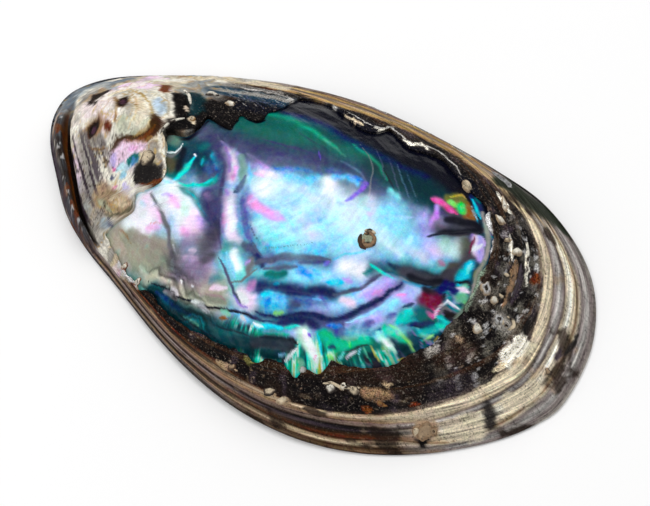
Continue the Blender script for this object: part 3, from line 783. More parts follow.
    ("dark_teal", 1, 0.6, 1, 40, -17.5, 42, -17),
    ("gold", 0.2, 0.6, 0.9, 40.4, -20.1, 42.1, -17.7),
    ("sky", 1.2, 0.8, 0.9, 33.5, -13, 34.5, -10),
    ("lavender", 1.1, 0.8, 0.9, 34.5, -9, 37, -8.5),
    ("pink", 0.6, 0.8, 0.8, 33.4, -8.9, 34.7, -7.6),
    ("navy", 0.5, 0.6, 0.9, 35.8, -10.8, 37.2, -8.4),
    ("indigo", 0.7, 0.8, 0.8, 34, -14, 35.1, -12.7),
    ("aqua", 1.1, 0.7, 0.9, 37, -12.5, 40, -11.5),
    ("white_pink", 0.6, 0.7, 0.9, 36.3, -10.9, 38.6, -10.1),
    ("sea_green", 1, 0.7, 0.9, 40, -10, 43, -8),
    ("deep_blue", 0.6, 0.5, 1, 38.9, -13.1, 41.2, -11.1, 43.1, -9.1),
    ("ink", 0.4, 0.6, 0.9, 40.2, -12.4, 42, -10.2),
    ("emerald", 0.6, 0.6, 1, 43.2, -8.7, 45.8, -7.8),
    ("green_mist", 0.6, 0.7, 0.9, 42, -12.8, 44.4, -11.4),
    ("lime", 0.3, 0.7, 0.9, 43.5, -13.3, 44.4, -10.6),
    ("gold", 0.3, 0.7, 0.9, 45, -12.3, 45.4, -10.4),
    ("smoke_dark", 2.2, 0.8, 0.9, 31.5, 10.5, 35, 13.5, 37.5, 17),
    ("lavender", 2, 0.8, 0.8, 28, 10.5, 32.5, 5.5),
    ("violet_grey", 1.5, 0.8, 0.8, 30.5, 12.5, 32, 13.5),
    ("green_white", 2.2, 0.8, 0.7, 35.5, 8, 38, 9.5),
    ("white_pink", 1.5, 0.8, 0.6, 33.5, 5, 35.5, 5),
    ("olive_shade", 1.5, 0.8, 0.7, 38.5, 12, 40.5, 9.5),
    ("ink", 1.1, 0.6, 0.9, 32, 14, 34.5, 16, 38, 18.5),
    ("ink", 0.8, 0.6, 0.9, 31, 7.5, 33.5, 11.5, 36.5, 14, 39, 18),
    ("smoke_dark", 1.5, 0.7, 1, 31, -3.5, 34, -2.5, 38.5, -0.5, 41, 3, 42, 6.5, 41, 10),
    ("ink", 0.9, 0.6, 0.9, 32.5, -3.5, 36.5, -2.5, 39.5, 0.5),
    ("rose", 1, 0.6, 1, 26.5, 17, 29, 17.5, 31.5, 17),
    ("violet_pink", 0.8, 0.7, 0.8, 28, 16, 29.5, 13.5, 29.5, 10.5),
    ("olive", 1.2, 0.6, 1, 29, 19.5, 30, 22, 32, 22),
    ("lime", 0.8, 0.6, 0.9, 29.5, 19, 31, 19.5),
    ("emerald_light", 1.2, 0.5, 1, 32, 20, 33, 19),
    ("copper", 1, 0.6, 1, 33, 22, 34.5, 20, 35.5, 19),
    ("gold", 0.4, 0.6, 0.9, 28.9, 20.4, 30.5, 23.3, 31.8, 23),
    ("navy", 1.1, 0.6, 1, 32.5, 25, 34.5, 24, 36.5, 22),
    ("cyan", 0.5, 0.6, 1, 32.8, 24.2, 37.4, 20.4),
    ("teal", 0.7, 0.6, 0.9, 33.1, 25.1, 34.4, 24.8),
    ("white_pink", 1.6, 0.5, 1, 40.5, 14.5, 42, 12.5),
    ("lavender", 1.1, 0.6, 1, 40.5, 15.5, 43.5, 11),
    ("white", 0.7, 0.6, 0.9, 40.8, 11.6, 41.8, 14.3),
    ("wine", 0.3, 0.5, 1, 39.3, 14.6, 40.1, 12, 41.2, 9.7),
    ("cyan", 1.2, 0.6, 1, 42.5, 8.5, 42.5, 3),
    ("aqua_pale", 0.6, 0.6, 0.9, 42.8, 8.9, 43.2, 5.6),
    ("ink", 0.5, 0.6, 1, 42, 2.4, 44, 4, 45.5, 3.4),
    ("green_mist", 1.2, 0.6, 1, 44, 2.5, 45, -0.5),
    ("white_pink", 0.8, 0.6, 1, 43, 1.5, 45.5, 2),
    ("deep_blue", 1.1, 0.6, 1, 40, -3, 41, 0.5, 43, 0.5),
    ("ink", 1.2, 0.6, 0.9, 37.5, -4, 40.5, -4),
    ("wine", 1.8, 0.5, 1, 39, -6.5, 41, -4.5),
    ("rose", 0.6, 0.6, 0.9, 40.1, -8.3, 42, -7.8, 42.4, -5.9),
    ("plum_black", 1, 0.6, 1, 44, -5, 46.5, -5, 47.5, -3.5),
    ("white", 0.3, 0.6, 0.7, 42.6, -7.9, 42, -6.2, 42.3, -4.5, 43.3, -2.7, 45.4, -2.9),
    ("smoke", 0.4, 0.5, 1, 42.9, -6.6, 43.3, -4.2, 45, -3.9),
    ("black", 0.7, 0.6, 0.9, 44.5, -5.7, 45.8, -4.4, 47.4, -4.3),
    ("teal", 1.5, 0.7, 0.8, 37, -12, 39.5, -9),
    ("aqua", 1, 0.7, 0.9, 36.5, -13.5, 37.5, -10.5),
    ("navy", 0.7, 0.6, 0.9, 38.5, -13.2, 43.1, -8.6),
    ("edge_green", 0.8, 0.6, 1, 44.5, 12, 45, 8.5, 47, 1, 47, -3, 46.5, -5),
    ("stone", 0.6, 0.6, 1, 44.5, 10.7, 45.3, 6.7, 46.7, 2.8, 47.2, -1.1),
    ("shell_grey", 0.7, 0.6, 1, 36.5, 22.8, 38.7, 20.1, 41.1, 17.9, 43.1, 15.3, 44.6, 12),
    ("sky", 6.4, 0.9, 0.45, 3, -4, 14.5, -2.5, 25, 4.5),
    ("bright_sky", 2.9, 0.9, 0.25, -0.5, -5, 10, -5.5),
    ("sky", 2.9, 0.9, 0.5, 19.5, 8.5, 28, 4),
    ("slate_green", 1.7, 0.8, 0.45, -8, -35, 5, -35, 17.5, -31.5),
    ("aqua_pale", 1.2, 0.8, 0.6, 28, -21.5, 34.5, -18, 38.5, -14),
    ("aqua", 1, 0.7, 0.7, 41.5, -12.5, 44, -9.5, 45.5, -7),
)

# Painted marks on the crust and the spire, in the same form.
CRUST_MARKS = (
    ("ivory", 7.3, 0.6, 1, -58, -5.5, -49.5, -4.5, -43, 0),
    ("ivory", 4.9, 0.7, 1, -50, -14, -40, -18.5, -40, -23.5),
    ("ivory", 2.5, 0.7, 1, -45, 1.5, -40.5, 4, -36.5, 1.5),
    ("ivory", 2.2, 0.7, 1, -52.5, 10.5, -46.5, 19),
    ("shell_grey", 2.9, 0.8, 0.9, -56.5, -11, -51.5, -15.5, -49, -20),
    ("pink_white", 3.7, 0.7, 1, -62.5, -4, -57.5, -3.5, -52, -7),
    ("ivory", 1.7, 0.6, 1, -73, 1, -68.5, -0.5),
    ("shell_grey", 1, 0.6, 1, -64, -4.5, -63.5, -6),
    ("lip_blue", 2.2, 0.6, 1, -68, -5.5, -73, 2.5, -71.5, 7.5, -63, 7.5, -60.5, 11),
    ("sky_grey", 1, 0.8, 0.8, -62.5, 5.5, -57.5, 3.5),
    ("umber", 1.5, 0.5, 1, -62.5, 0.5, -61, 1, -60, 2),
    ("umber", 0.7, 0.6, 1, -63.6, -1.1, -59.5, -1.9),
    ("sage", 2.2, 0.8, 0.7, -46, -7, -43.5, -7),
    ("shell_grey", 1.5, 0.8, 0.7, -51, 0, -46, -4.5),
    ("cream", 1.2, 0.8, 0.8, -45.5, -1.5, -43, -3, -42.5, -5.5),
    ("golden", 0.4, 0.6, 0.9, -55.6, 5.1, -50.2, 1.8, -46.1, 0.3, -43.1, -0.5, -41.1, -1.9, -40.7, -3.7, -41,
     -6.2, -42.2, -8.4),
    ("golden", 0.3, 0.6, 0.8, -52.5, 2.3, -47, -0.9, -44.6, -2.9, -43.8, -5.2, -44.4, -7.8),
    ("golden", 0.2, 0.6, 0.7, -54.1, 0.4, -51.7, 1, -47.4, -2.1, -45.4, -4.6, -45.5, -6.6),
    ("ochre", 0.6, 0.7, 0.9, -55.3, -0.6, -51.8, -3.1, -50.1, -4.9, -48.3, -7.6),
    ("plum_grey", 1.1, 0.4, 1, -50, -3, -50, -2.5),
    ("golden", 0.2, 0.6, 0.7, -45.2, 2.3, -42.3, 2.5, -39.6, 2, -37.7, -0.1, -37.7, -2.1, -39.7, -3),
    ("pale_sky", 1.7, 0.7, 1, -41.5, 0.5, -39.5, -0.5),
    ("rust", 1.3, 0.6, 1, -46.5, 9.5, -42.5, 5),
    ("brown_patch", 1.5, 0.5, 1, -45.5, -11.5, -43, -10.5, -40.5, -9, -39, -7, -38.5, -5, -39, -3.5),
    ("amber", 0.5, 0.7, 0.9, -43.4, -11.1, -40.4, -9.2, -38.7, -6.6, -38.8, -4.4),
    ("ochre", 0.6, 0.7, 0.9, -45.2, -12.2, -41.7, -10.9, -39.2, -8.9, -37.8, -7),
    ("sage", 0.9, 0.8, 0.9, -42.5, -8, -41, -6, -40.5, -4),
    ("golden", 0.5, 0.7, 0.8, -41.9, -8.8, -40, -6.5, -39.7, -4.4),
    ("rust", 0.9, 0.7, 1, -51.5, -8, -49, -9),
    ("ochre", 2.2, 0.5, 0.8, -56.5, -8, -54, -9),
    ("brown_patch", 1.6, 0.4, 1, -56, -8.5, -56, -8.5),
    ("plum", 1, 0.5, 1, -56, -8.5, -56, -8.5),
    ("umber", 0.4, 0.6, 1, -56.1, -8.3, -55.8, -8.3),
    ("shell_grey", 1, 0.7, 0.9, -59, -9, -54.5, -10.5, -50, -11),
    ("ochre", 0.4, 0.7, 0.8, -54.9, -11.9, -51.9, -12.3, -48.7, -11.9),
    ("pearl", 2, 0.6, 1, -44.5, -13, -41.5, -12, -39, -10.5),
    ("lavender", 1, 0.7, 0.7, -45.5, -13.5, -44.5, -14),
    ("pink", 0.7, 0.8, 0.45, -41.3, -11.5, -39.7, -10.2),
    ("sky", 1, 0.7, 0.6, -43, -15, -40, -14.5),
    ("teal", 1, 0.6, 1, -40, -13.5, -38, -12),
    ("deep_sky", 0.7, 0.7, 0.9, -39.1, -13.8, -38.4, -13),
    ("lavender", 0.7, 0.7, 0.6, -39.2, -17.3, -36.9, -18.8),
    ("sky", 0.7, 0.7, 0.9, -41.1, -16.4, -39.6, -15.8),
    ("rose", 0.5, 0.7, 0.9, -44.5, -14.8, -43.3, -15.2),
    ("rose", 0.4, 0.7, 0.6, -40.9, -17.6, -41.8, -18.7),
    ("coral", 0.5, 0.7, 0.9, -40, -19.9, -39.2, -19.2),
    ("slate", 0.5, 0.7, 0.9, -43.7, -16.4, -42.3, -17),
    ("ochre", 0.5, 0.7, 0.7, -47.9, -13.7, -46.2, -15.2),
    ("shell_grey", 1.7, 0.7, 0.9, -36, -9, -34, -10, -32.5, -11.5),
    ("cream", 1.5, 0.5, 1, -37, -11.5, -35, -11.5, -34, -12),
    ("ivory", 0.7, 0.6, 1, -36.8, -5.1, -34.8, -7.4, -32.5, -9, -30.7, -11.4, -30, -13.6),
    ("ivory", 0.6, 0.6, 1, -36.8, -5.1, -36.5, -3.4, -33.7, 0.5),
    ("charcoal", 2.5, 0.45, 1, -35.5, -14.5, -32.5, -14),
    ("charcoal", 1.2, 0.5, 1, -36, -16, -33.5, -16),
    ("rust", 0.5, 0.6, 0.9, -34.7, -17, -32.2, -16.6, -30.5, -15, -30, -13.6),
    ("ivory", 0.6, 0.6, 1, -35.2, -18.5, -31, -16.5),
    ("sand", 2.5, 0.6, 1, -45, -20, -40.5, -21.5, -36.5, -21.5),
    ("cream", 1, 0.8, 0.8, -41, -20.5, -36, -21),
    ("sage", 0.6, 0.8, 0.8, -44.8, -21.4, -39.3, -22.8),
    ("ivory", 0.7, 0.7, 1, -36.9, -16.5, -35.2, -18.5),
    ("olive_grey", 0.4, 0.6, 0.9, -42.7, -23.5, -39.3, -23.8, -36, -23, -34, -21.2, -34.5, -19.5),
    ("shell_grey", 1.5, 0.7, 0.9, -43, -24, -40, -25.5),
    ("sky_grey", 0.9, 0.7, 0.9, -41, -25, -38.5, -25.5),
    ("slate", 0.4, 0.6, 0.9, -39.7, -24.1, -36.6, -25.8),
    ("black", 2.2, 0.5, 1, -39, 6, -35.5, 2.5, -33.5, 1),
    ("ivory", 0.6, 0.6, 1, -39.2, 8.5, -34.6, 5.3),
    ("sand", 0.6, 0.6, 1, -35.5, 3.7, -33.9, 2.4),
    ("dark_teal", 2.2, 0.6, 1, -36.5, 8.5, -32, 5.5, -31.5, 3),
    ("sea_green", 0.7, 0.8, 0.7, -31.7, 3.4, -30.9, 5.5),
    ("black", 2, 0.6, 1, -35, -3, -30.5, 1.5, -29.5, 5, -26, 4.5, -23, 5),
    ("black", 2.2, 0.6, 1, -31, 8, -26.5, 8.5, -22.5, 10, -18.5, 11, -17, 12.5),
    ("cream", 0.8, 0.5, 1, -32, 1.5, -31, 1),
    ("dark_teal", 1.2, 0.8, 0.8, -26.5, 13, -21, 14.5, -16, 17),
    ("ink", 3.4, 0.6, 1, -16, 21.5, -7.5, 24, 12, 25, 21, 26, 30.5, 25.5),
    ("ink", 2.2, 0.6, 1, -26, 12, -18.5, 14.5, -13, 19),
    ("navy_teal", 2.9, 0.7, 1, -36, 16, -29, 17.5, -21, 19, -14.5, 21.5, -9.5, 23),
    ("far_grey", 1.2, 0.8, 0.8, -40, 19, -33, 21.5, -25, 23.5, -17.5, 25, -9.5, 27),
    ("pale_grey", 0.1, 0.7, 0.8, -38.9, 18.8, -30.5, 15.3, -22.4, 11.7),
    ("pale_grey", 0.1, 0.7, 0.6, -36.4, 18.8, -21.3, 13.4),
    ("pale_grey", 0.1, 0.7, 0.6, -33.1, 20.3, -25.2, 17.9, -17.9, 16.1),
    ("slate", 0.2, 0.7, 0.8, -35.2, 19.7, -26.3, 16.2, -19.9, 14),
    ("pale_grey", 0.1, 0.7, 0.6, -28.4, 20.5, -21.2, 19, -15.6, 18.6),
    ("pale_grey", 0.4, 0.7, 0.8, -20, 24, -16.4, 22.2, -12.6, 19.7),
    ("far_grey", 1.3, 0.7, 1, -37, 15.5, -31.5, 17, -24.5, 19.5, -17.5, 21.5),
    ("slate", 0.2, 0.7, 0.8, -34.4, 14, -27.5, 14.5, -21.1, 16.4, -16.9, 18.7),
    ("pale_grey", 0.6, 0.8, 0.9, -32.4, 20.9, -18.9, 23.2),
    ("pale_grey", 1.1, 0.8, 1, -18, 22, -14, 24, -11.5, 27, -8, 27),
    ("pale_grey", 0.3, 0.5, 1, -10.1, 27.7, 2.7, 26.8, 5, 28.6, 6.1, 30.5, 12.9, 28.9, 16.4, 31.5, 20.6,
     31.8, 24.7, 30.1, 27.2, 28.7),
    ("cream", 0.9, 0.5, 1, -4, 25.5, 0.5, 25.5),
    ("ivory", 0.5, 0.5, 1, 3.4, 26.6, 4.9, 27, 5.7, 28.9),
    ("ivory", 0.7, 0.5, 1, 10.7, 28.6, 13, 28.2, 14.2, 31, 16.7, 30.2),
    ("cream", 0.8, 0.5, 1, 29.5, 25.5, 31, 26),
    ("far_cream", 1.5, 0.7, 1, -47.5, 19.5, -42, 23, -24, 28),
    ("brown_patch", 0.6, 0.7, 1, -30.7, 24.4, -28.4, 24.6, -24.1, 24.6),
    ("black", 1, 0.7, 0.9, -20.5, 24.5, -15.5, 25.5, -10, 27.5),
    ("sand", 0.6, 0.7, 0.9, 23.9, 34.5, 25.7, 34.4),
    ("algae", 3.7, 0.6, 1, 36, 39, 42, 38, 46.5, 39.5),
    ("algae", 2.2, 0.6, 1, 34, 36, 43.5, 41, 51.5, 40),
    ("white_grey", 1.2, 0.6, 1, -31, -31, -23.5, -33),
    ("rust", 0.4, 0.6, 0.9, -30.1, -31.2, -26.9, -31.7, -24.5, -31.7),
    ("ochre", 0.7, 0.6, 1, -23.3, -33.3, -21.9, -33.2),
    ("rust", 1, 0.7, 0.9, -50, -26.5, -47, -27.5),
    ("ochre", 0.7, 0.7, 0.8, -43.9, -29.7),
    ("white_grey", 0.9, 0.5, 1, 37.5, 22.5, 40, 20.5, 44, 13.5),
    ("edge_green", 0.7, 0.6, 1, 44.8, 10.2, 45.3, 6.7, 47.5, -1.9),
    ("ivory", 0.7, 0.5, 1, 36.2, 31, 39.1, 29.5, 41.6, 27.7),
    ("ivory", 0.4, 0.6, 1, 45, 21.8, 48.8, 16.5),
    ("ivory", 0.5, 0.6, 1, 48.9, 23.6, 51.2, 19.8, 54.3, 14.2),
    ("tan", 0.7, 0.6, 1, 49.5, 17.3, 51.4, 12.8, 53.5, 5.4),
    ("plum_grey", 0.7, 0.7, 0.9, 51.5, 16.8, 53.5, 11.7, 54.6, 7.3),
    ("rust", 1, 0.6, 1, 54.5, 18, 55.5, 16),
    ("shell_grey", 2, 0.6, 0.9, 54.5, 2, 56.5, 2),
    ("brown_patch", 2.2, 0.8, 0.4, 49.5, -9.5, 53, -8, 48.5, -14),
    ("brown_patch", 2.9, 0.8, 0.35, 31.5, -29.5, 39, -24.5, 44, -19.5),
    ("shell_grey", 1, 0.7, 0.8, 45.5, -15, 46.5, -13),
    ("sand", 0.7, 0.6, 0.9, 48.7, -7.9, 50.5, -8.1),
    ("plum_grey", 1.5, 0.8, 0.4, 50.5, -20, 53, -17, 56, -13),
    ("olive", 0.7, 0.6, 0.9, 10.7, -37.3, 12.6, -37.6),
    ("tan", 1, 0.6, 0.9, 37.5, -29.5, 40.5, -28, 43, -26.5),
    ("rust", 0.7, 0.6, 1, 39.4, -31.1, 41, -30.5),
    ("ochre", 0.5, 0.6, 1, 41.9, -28.8, 42.9, -28.5),
    ("rust", 0.6, 0.6, 1, 47.8, -24.4, 48.7, -23.7),
    ("sand", 0.6, 0.6, 1, 41.2, -25.3, 41.8, -24.9),
    ("sand", 0.6, 0.6, 1, 19.3, -40.1, 21, -40.1),
    ("sand", 0.7, 0.6, 1, 22.5, -39.9, 24.4, -39.5),
    ("sand", 0.5, 0.6, 0.9, 4.3, -40.4, 7, -40.2, 9.9, -40.2),
    ("ivory", 1.7, 0.5, 1, 61, 2, 60, -1.5, 60, -4),
    ("cream", 0.7, 0.6, 1, 60.1, -4.8, 59.2, -7.6),
    ("far_cream", 1.7, 0.5, 1, 65, -10.5, 67, -7.5, 68.5, -3.5),
    ("far_cream", 2, 0.5, 1, 60.5, -19, 57.5, -23, 62.5, -18.5),
    ("charcoal", 1.5, 0.6, 0.9, 62.5, -14.5, 64, -16),
    ("charcoal", 0.7, 0.6, 0.9, 69.3, 14.9, 69.8, 11.2, 69.2, 8.3),
    ("plum_grey", 0.9, 0.6, 0.9, 68, 8, 68.5, 5.5),
    ("black", 1.2, 0.5, 1, 52.5, -28, 54, -28),
    ("sand", 1.6, 0.5, 1, 52, -27, 54, -25.5),
)

# Growth bands of the crust in five directions from the apex: place, then colour. The borders of the bands
# are at places 1 to 4 and the rim is at 5.
GROWING_EDGE_BANDS = (
    (0.0, "black"), (0.98, "black"), (0.988, "charcoal"), (0.996, "taupe"), (1.05, "cream"),
    (1.5, "far_cream"), (1.85, "cream"), (2.0, "taupe"), (2.1, "mauve_grey"), (2.5, "pale_grey"),
    (2.85, "mauve_grey"), (2.97, "taupe"), (3.02, "cream"), (3.3, "ivory"), (3.85, "cream"),
    (4.0, "tan"), (4.1, "far_cream"), (4.25, "mauve_grey"), (4.5, "pale_grey"),
    (4.75, "mauve_grey"), (5.0, "shell_grey"),
)
NEAR_FLANK_BANDS = (
    (0.0, "black"), (0.99, "black"), (1.0, "umber"), (1.1, "sand"), (1.4, "cream"), (1.7, "sand"),
    (2.0, "tan"), (2.1, "mauve_brown"), (2.6, "taupe"), (2.85, "umber"), (3.0, "black"),
    (3.15, "plum_grey"), (3.35, "umber"), (3.5, "brown_patch"), (3.75, "rust"), (3.95, "brown_patch"),
    (4.05, "sand"), (4.25, "cream"), (4.5, "brown_patch"), (4.8, "tan"), (5.0, "umber"),
)
LIP_FLANK_BANDS = (
    (0.0, "black"), (0.985, "black"), (1.0, "rust"), (1.3, "umber"), (2.0, "tan"), (2.6, "mauve_brown"),
    (3.0, "umber"), (3.3, "mauve_grey"), (3.7, "taupe"), (4.0, "umber"), (4.3, "tan"), (4.6, "mauve_grey"),
    (5.0, "dark_grey"),
)
FAR_FLANK_BANDS = (
    (0.0, "charcoal"), (0.97, "charcoal"), (1.0, "tan"), (1.4, "golden"), (2.0, "sand"), (2.4, "taupe"),
    (3.0, "golden"), (3.4, "mauve_brown"), (4.0, "taupe"), (4.5, "mauve_grey"), (5.0, "dark_grey"),
)
SPIRE_FLANK_BANDS = (
    (0.0, "ivory"), (1.0, "far_cream"), (2.0, "shell_grey"), (3.0, "ivory"), (4.0, "mauve_grey"),
    (4.6, "lip_blue"), (5.0, "dark_grey"),
)
# Where the four borders lie: direction from the apex in degrees, then shares of the way to the rim.
BAND_BORDERS = (
    (-180, 0.60, 0.74, 0.85, 0.93), (-90, 0.84, 0.88, 0.92, 0.95), (-45, 0.868, 0.892, 0.926, 0.958),
    (-30, 0.885, 0.918, 0.935, 0.957), (-24, 0.907, 0.926, 0.944, 0.968), (-20, 0.916, 0.933, 0.947, 0.976),
    (-14, 0.922, 0.940, 0.952, 0.972), (-10, 0.919, 0.943, 0.950, 0.985), (-5, 0.908, 0.934, 0.944, 0.976),
    (0, 0.899, 0.928, 0.938, 0.966), (5, 0.900, 0.922, 0.936, 0.961), (10, 0.890, 0.911, 0.934, 0.959),
    (15, 0.883, 0.906, 0.932, 0.956), (20, 0.870, 0.904, 0.926, 0.943), (25, 0.825, 0.86, 0.90, 0.94),
    (28, 0.80, 0.84, 0.875, 0.93), (31, 0.74, 0.80, 0.86, 0.92), (34, 0.67, 0.75, 0.82, 0.90),
    (38, 0.64, 0.70, 0.76, 0.88), (44, 0.62, 0.67, 0.73, 0.86), (52, 0.61, 0.66, 0.72, 0.86),
    (60, 0.60, 0.74, 0.85, 0.93), (180, 0.60, 0.74, 0.85, 0.93),
)
# Direction from the apex in degrees, and the bands there.
BANDS_BY_DIRECTION = (
    (-180, SPIRE_FLANK_BANDS), (-90, LIP_FLANK_BANDS), (-34, LIP_FLANK_BANDS), (-22, NEAR_FLANK_BANDS),
    (-15, NEAR_FLANK_BANDS), (-10, GROWING_EDGE_BANDS), (18, GROWING_EDGE_BANDS), (27, FAR_FLANK_BANDS),
    (44, FAR_FLANK_BANDS), (56, SPIRE_FLANK_BANDS), (180, SPIRE_FLANK_BANDS),
)

# How a mark ends: its width there as a share, the half widths between which that grows to its full width,
# and how many half widths long a mark has to be to taper, or to keep smooth sides.
MARK_END_WIDTH = 0.2
TAPERED_WIDTHS = (0.35, 1.4)
TAPERED_STRETCH = 5
RAGGED_STRETCH = 7
# How far the edges of marks wander, over waves of what size, and how crisp they are.
NACRE_WANDER = (0.6, 5.0, 10)
CRUST_WANDER = (0.6, 1.6, 24)
SHEEN_CYCLE = (
    "sky", "cyan", "aqua", "emerald", "sea_green", "teal", "blue", "lavender", "pink", "magenta",
    "lilac", "white",
)
FAN_TONES = (
    "plum_black", "dark_teal", "teal", "sea_green", "emerald", "aqua", "green_white", "white", "lime", "gold",
)
LAYER_TONES = ("ivory", "shell_grey", "cream", "pink_white", "pearl", "far_cream", "sand", "shell_grey")


def palette_of(settings):
    """The settings' colours as arrays, by name, in display values."""
    names = settings.bl_rna.properties.keys()
    return {name: np.array(getattr(settings, name)) for name in names if name not in ("rna_type", "name")}


def to_linear(colour):
    """Display values as the linear light values that a material uses."""
    colour = np.clip(colour, 0, 1)
    return np.where(colour <= 0.04045, colour / 12.92, ((colour + 0.055) / 1.055) ** 2.4)


def mix(colour, other, weight):
    """Goes from one colour to the other by a weight of each point."""
    return colour + (other - colour) * np.clip(weight, 0, 1)[:, None]


def plain(tone, x):
    """One colour for all the points."""
    return np.tile(tone, (len(x), 1))


def paint(colour, palette, *coats):
    """Lays named colours over a ground, each with its own cover."""
    for name, cover in coats:
        colour = mix(colour, palette[name], cover)
    return colour


def add_marks(colour, x, y, marks, palette, style):
    """Paints each mark over the last, with edges that wander."""
    wander, size, crispness = style
    smooth_x = x + wander * rough_noise(x, y, size, 3)
    smooth_y = y + wander * rough_noise(x + 71, y - 33, size, 3)
    ragged_x = smooth_x + 0.5 * wander * rough_noise(x - 13, y, size / 4, 2)
    ragged_y = smooth_y + 0.5 * wander * rough_noise(x, y + 29, size / 4, 2)
    for name, half_width, softness, strength, *numbers in marks:
        fall = 2 + crispness * (1 - softness) ** 2
        reach = half_width * 5 ** (1 / fall)
        line = np.reshape(numbers, (-1, 2))
        stretch = np.ptp(line, axis=0).max() / half_width
        by_width = np.interp(half_width, TAPERED_WIDTHS, (MARK_END_WIDTH, 1.0))
        ends = max(by_width, 1 - stretch / TAPERED_STRETCH)
        px, py = (ragged_x, ragged_y) if stretch < RAGGED_STRETCH else (smooth_x, smooth_y)
        low, high = line.min(axis=0) - reach, line.max(axis=0) + reach
        near = (px > low[0]) & (px < high[0]) & (py > low[1]) & (py < high[1])
        if not near.any():
            continue
        away, along = distance_to_line(px[near], py[near], line)
        width = half_width * (ends + (1 - ends) * np.sin(math.pi * np.clip(along, 0, 1)) ** 0.7)
        cover = np.exp(-((away / width) ** fall))
        colour[near] = mix(colour[near], palette[name], cover * strength)
    return colour


def sheen(phase, palette):
    """Colours of the sheen's cycle, once round for each unit of phase."""
    stops = np.array([palette[name] for name in SHEEN_CYCLE])
    place = np.mod(phase, 1) * len(stops)
    first = np.floor(place).astype(int) % len(stops)
    return mix(stops[first], stops[(first + 1) % len(stops)], place - np.floor(place))


def tone_at(place, stops, names, palette):
    """Colours along a row of named tones, each at its own stop."""
    tones = np.array([palette[name] for name in names])
    return np.stack([np.interp(place, stops, channel) for channel in tones.T], axis=1)


def nacre_colour(x, y, palette):
    """Colours of the worn nacre: broad sheen, the dark far side, the fan of streaks and the painted marks."""
    growth, spread = growth_and_spread(x, y)
    phase = 2.2 * growth + 0.5 * rough_noise(x, y, 14.0, 3) + 0.16 * nacre_relief(x, y)
    from_edge = (1 - NACRE_FROM_MIDDLE.share(x, y)) * 40 + 2.5 * rough_noise(x, y, 5.0, 3)
    near_edge = 1 - smooth_step(2.0, 9.0, from_edge)
    colour = paint(
        mix(plain(palette["sky"], x), sheen(phase, palette), np.full(x.shape, 0.3)), palette,
        ("teal", near_edge * smooth_step(8, -8, y)), ("ink", near_edge * smooth_step(-2, 14, y)),
        ("navy_teal", near_edge * smooth_step(24, 36, x)),
    )
    turn = np.degrees(angle_of(x, y))
    comb = rough_noise(turn * 0.55, from_edge * 0.12, 1.0, 3)
    comb += 0.4 * rough_noise(turn * 1.4, from_edge * 0.3, 1.0, 2)
    in_fan = stretch_of(turn, -98, -84, -28, -14) * (1 - smooth_step(4.5, 8.5, from_edge))
    fan = tone_at(0.5 + 0.8 * comb, np.linspace(0, 1, len(FAN_TONES)), FAN_TONES, palette)
    colour = mix(colour, fan, 0.9 * in_fan)
    chips = smooth_step(0.12, 0.3, rough_noise(x - 20, y + 5, 2.6, 3)) * near_edge * smooth_step(30, 40, x)
    colour = mix(colour, sheen(phase * 3 + comb, palette), 0.45 * chips)
    colour = add_marks(colour, x, y, NACRE_MARKS, palette, NACRE_WANDER)
    streaks = rough_noise(growth * 95, spread * 7, 1.0, 3)
    patches = rough_noise(x, y, 2.2, 3)
    in_strip = stretch_of(turn, -138, -128, -100, -88) * (1 - smooth_step(6, 11, from_edge))
    colour = colour * (1 + 0.7 * in_strip * rough_noise(from_edge * 1.3, turn * 0.06, 1.0, 3))[:, None]
    shimmer = sheen(phase * 1.7 + 0.35 * patches + 0.2 * streaks, palette)
    gleam = 0.05 + 0.10 * smooth_step(0.1, 0.8, patches)
    colour = mix(colour, shimmer, gleam * smooth_step(0.2, 0.5, colour.mean(axis=1)))
    return colour * (1 + 0.06 * streaks + 0.06 * patches)[:, None]


def band_place(growth, direction):
    """Which growth band a point is in: the borders are at 1, 2, 3 and 4, and the rim is at 5."""
    directions, *borders = np.transpose(BAND_BORDERS)
    edges = [0.0] + [np.interp(direction, directions, border) for border in borders] + [1.0]
    return sum(np.clip((growth - low) / (high - low), 0, 1) for low, high in zip(edges, edges[1:]))


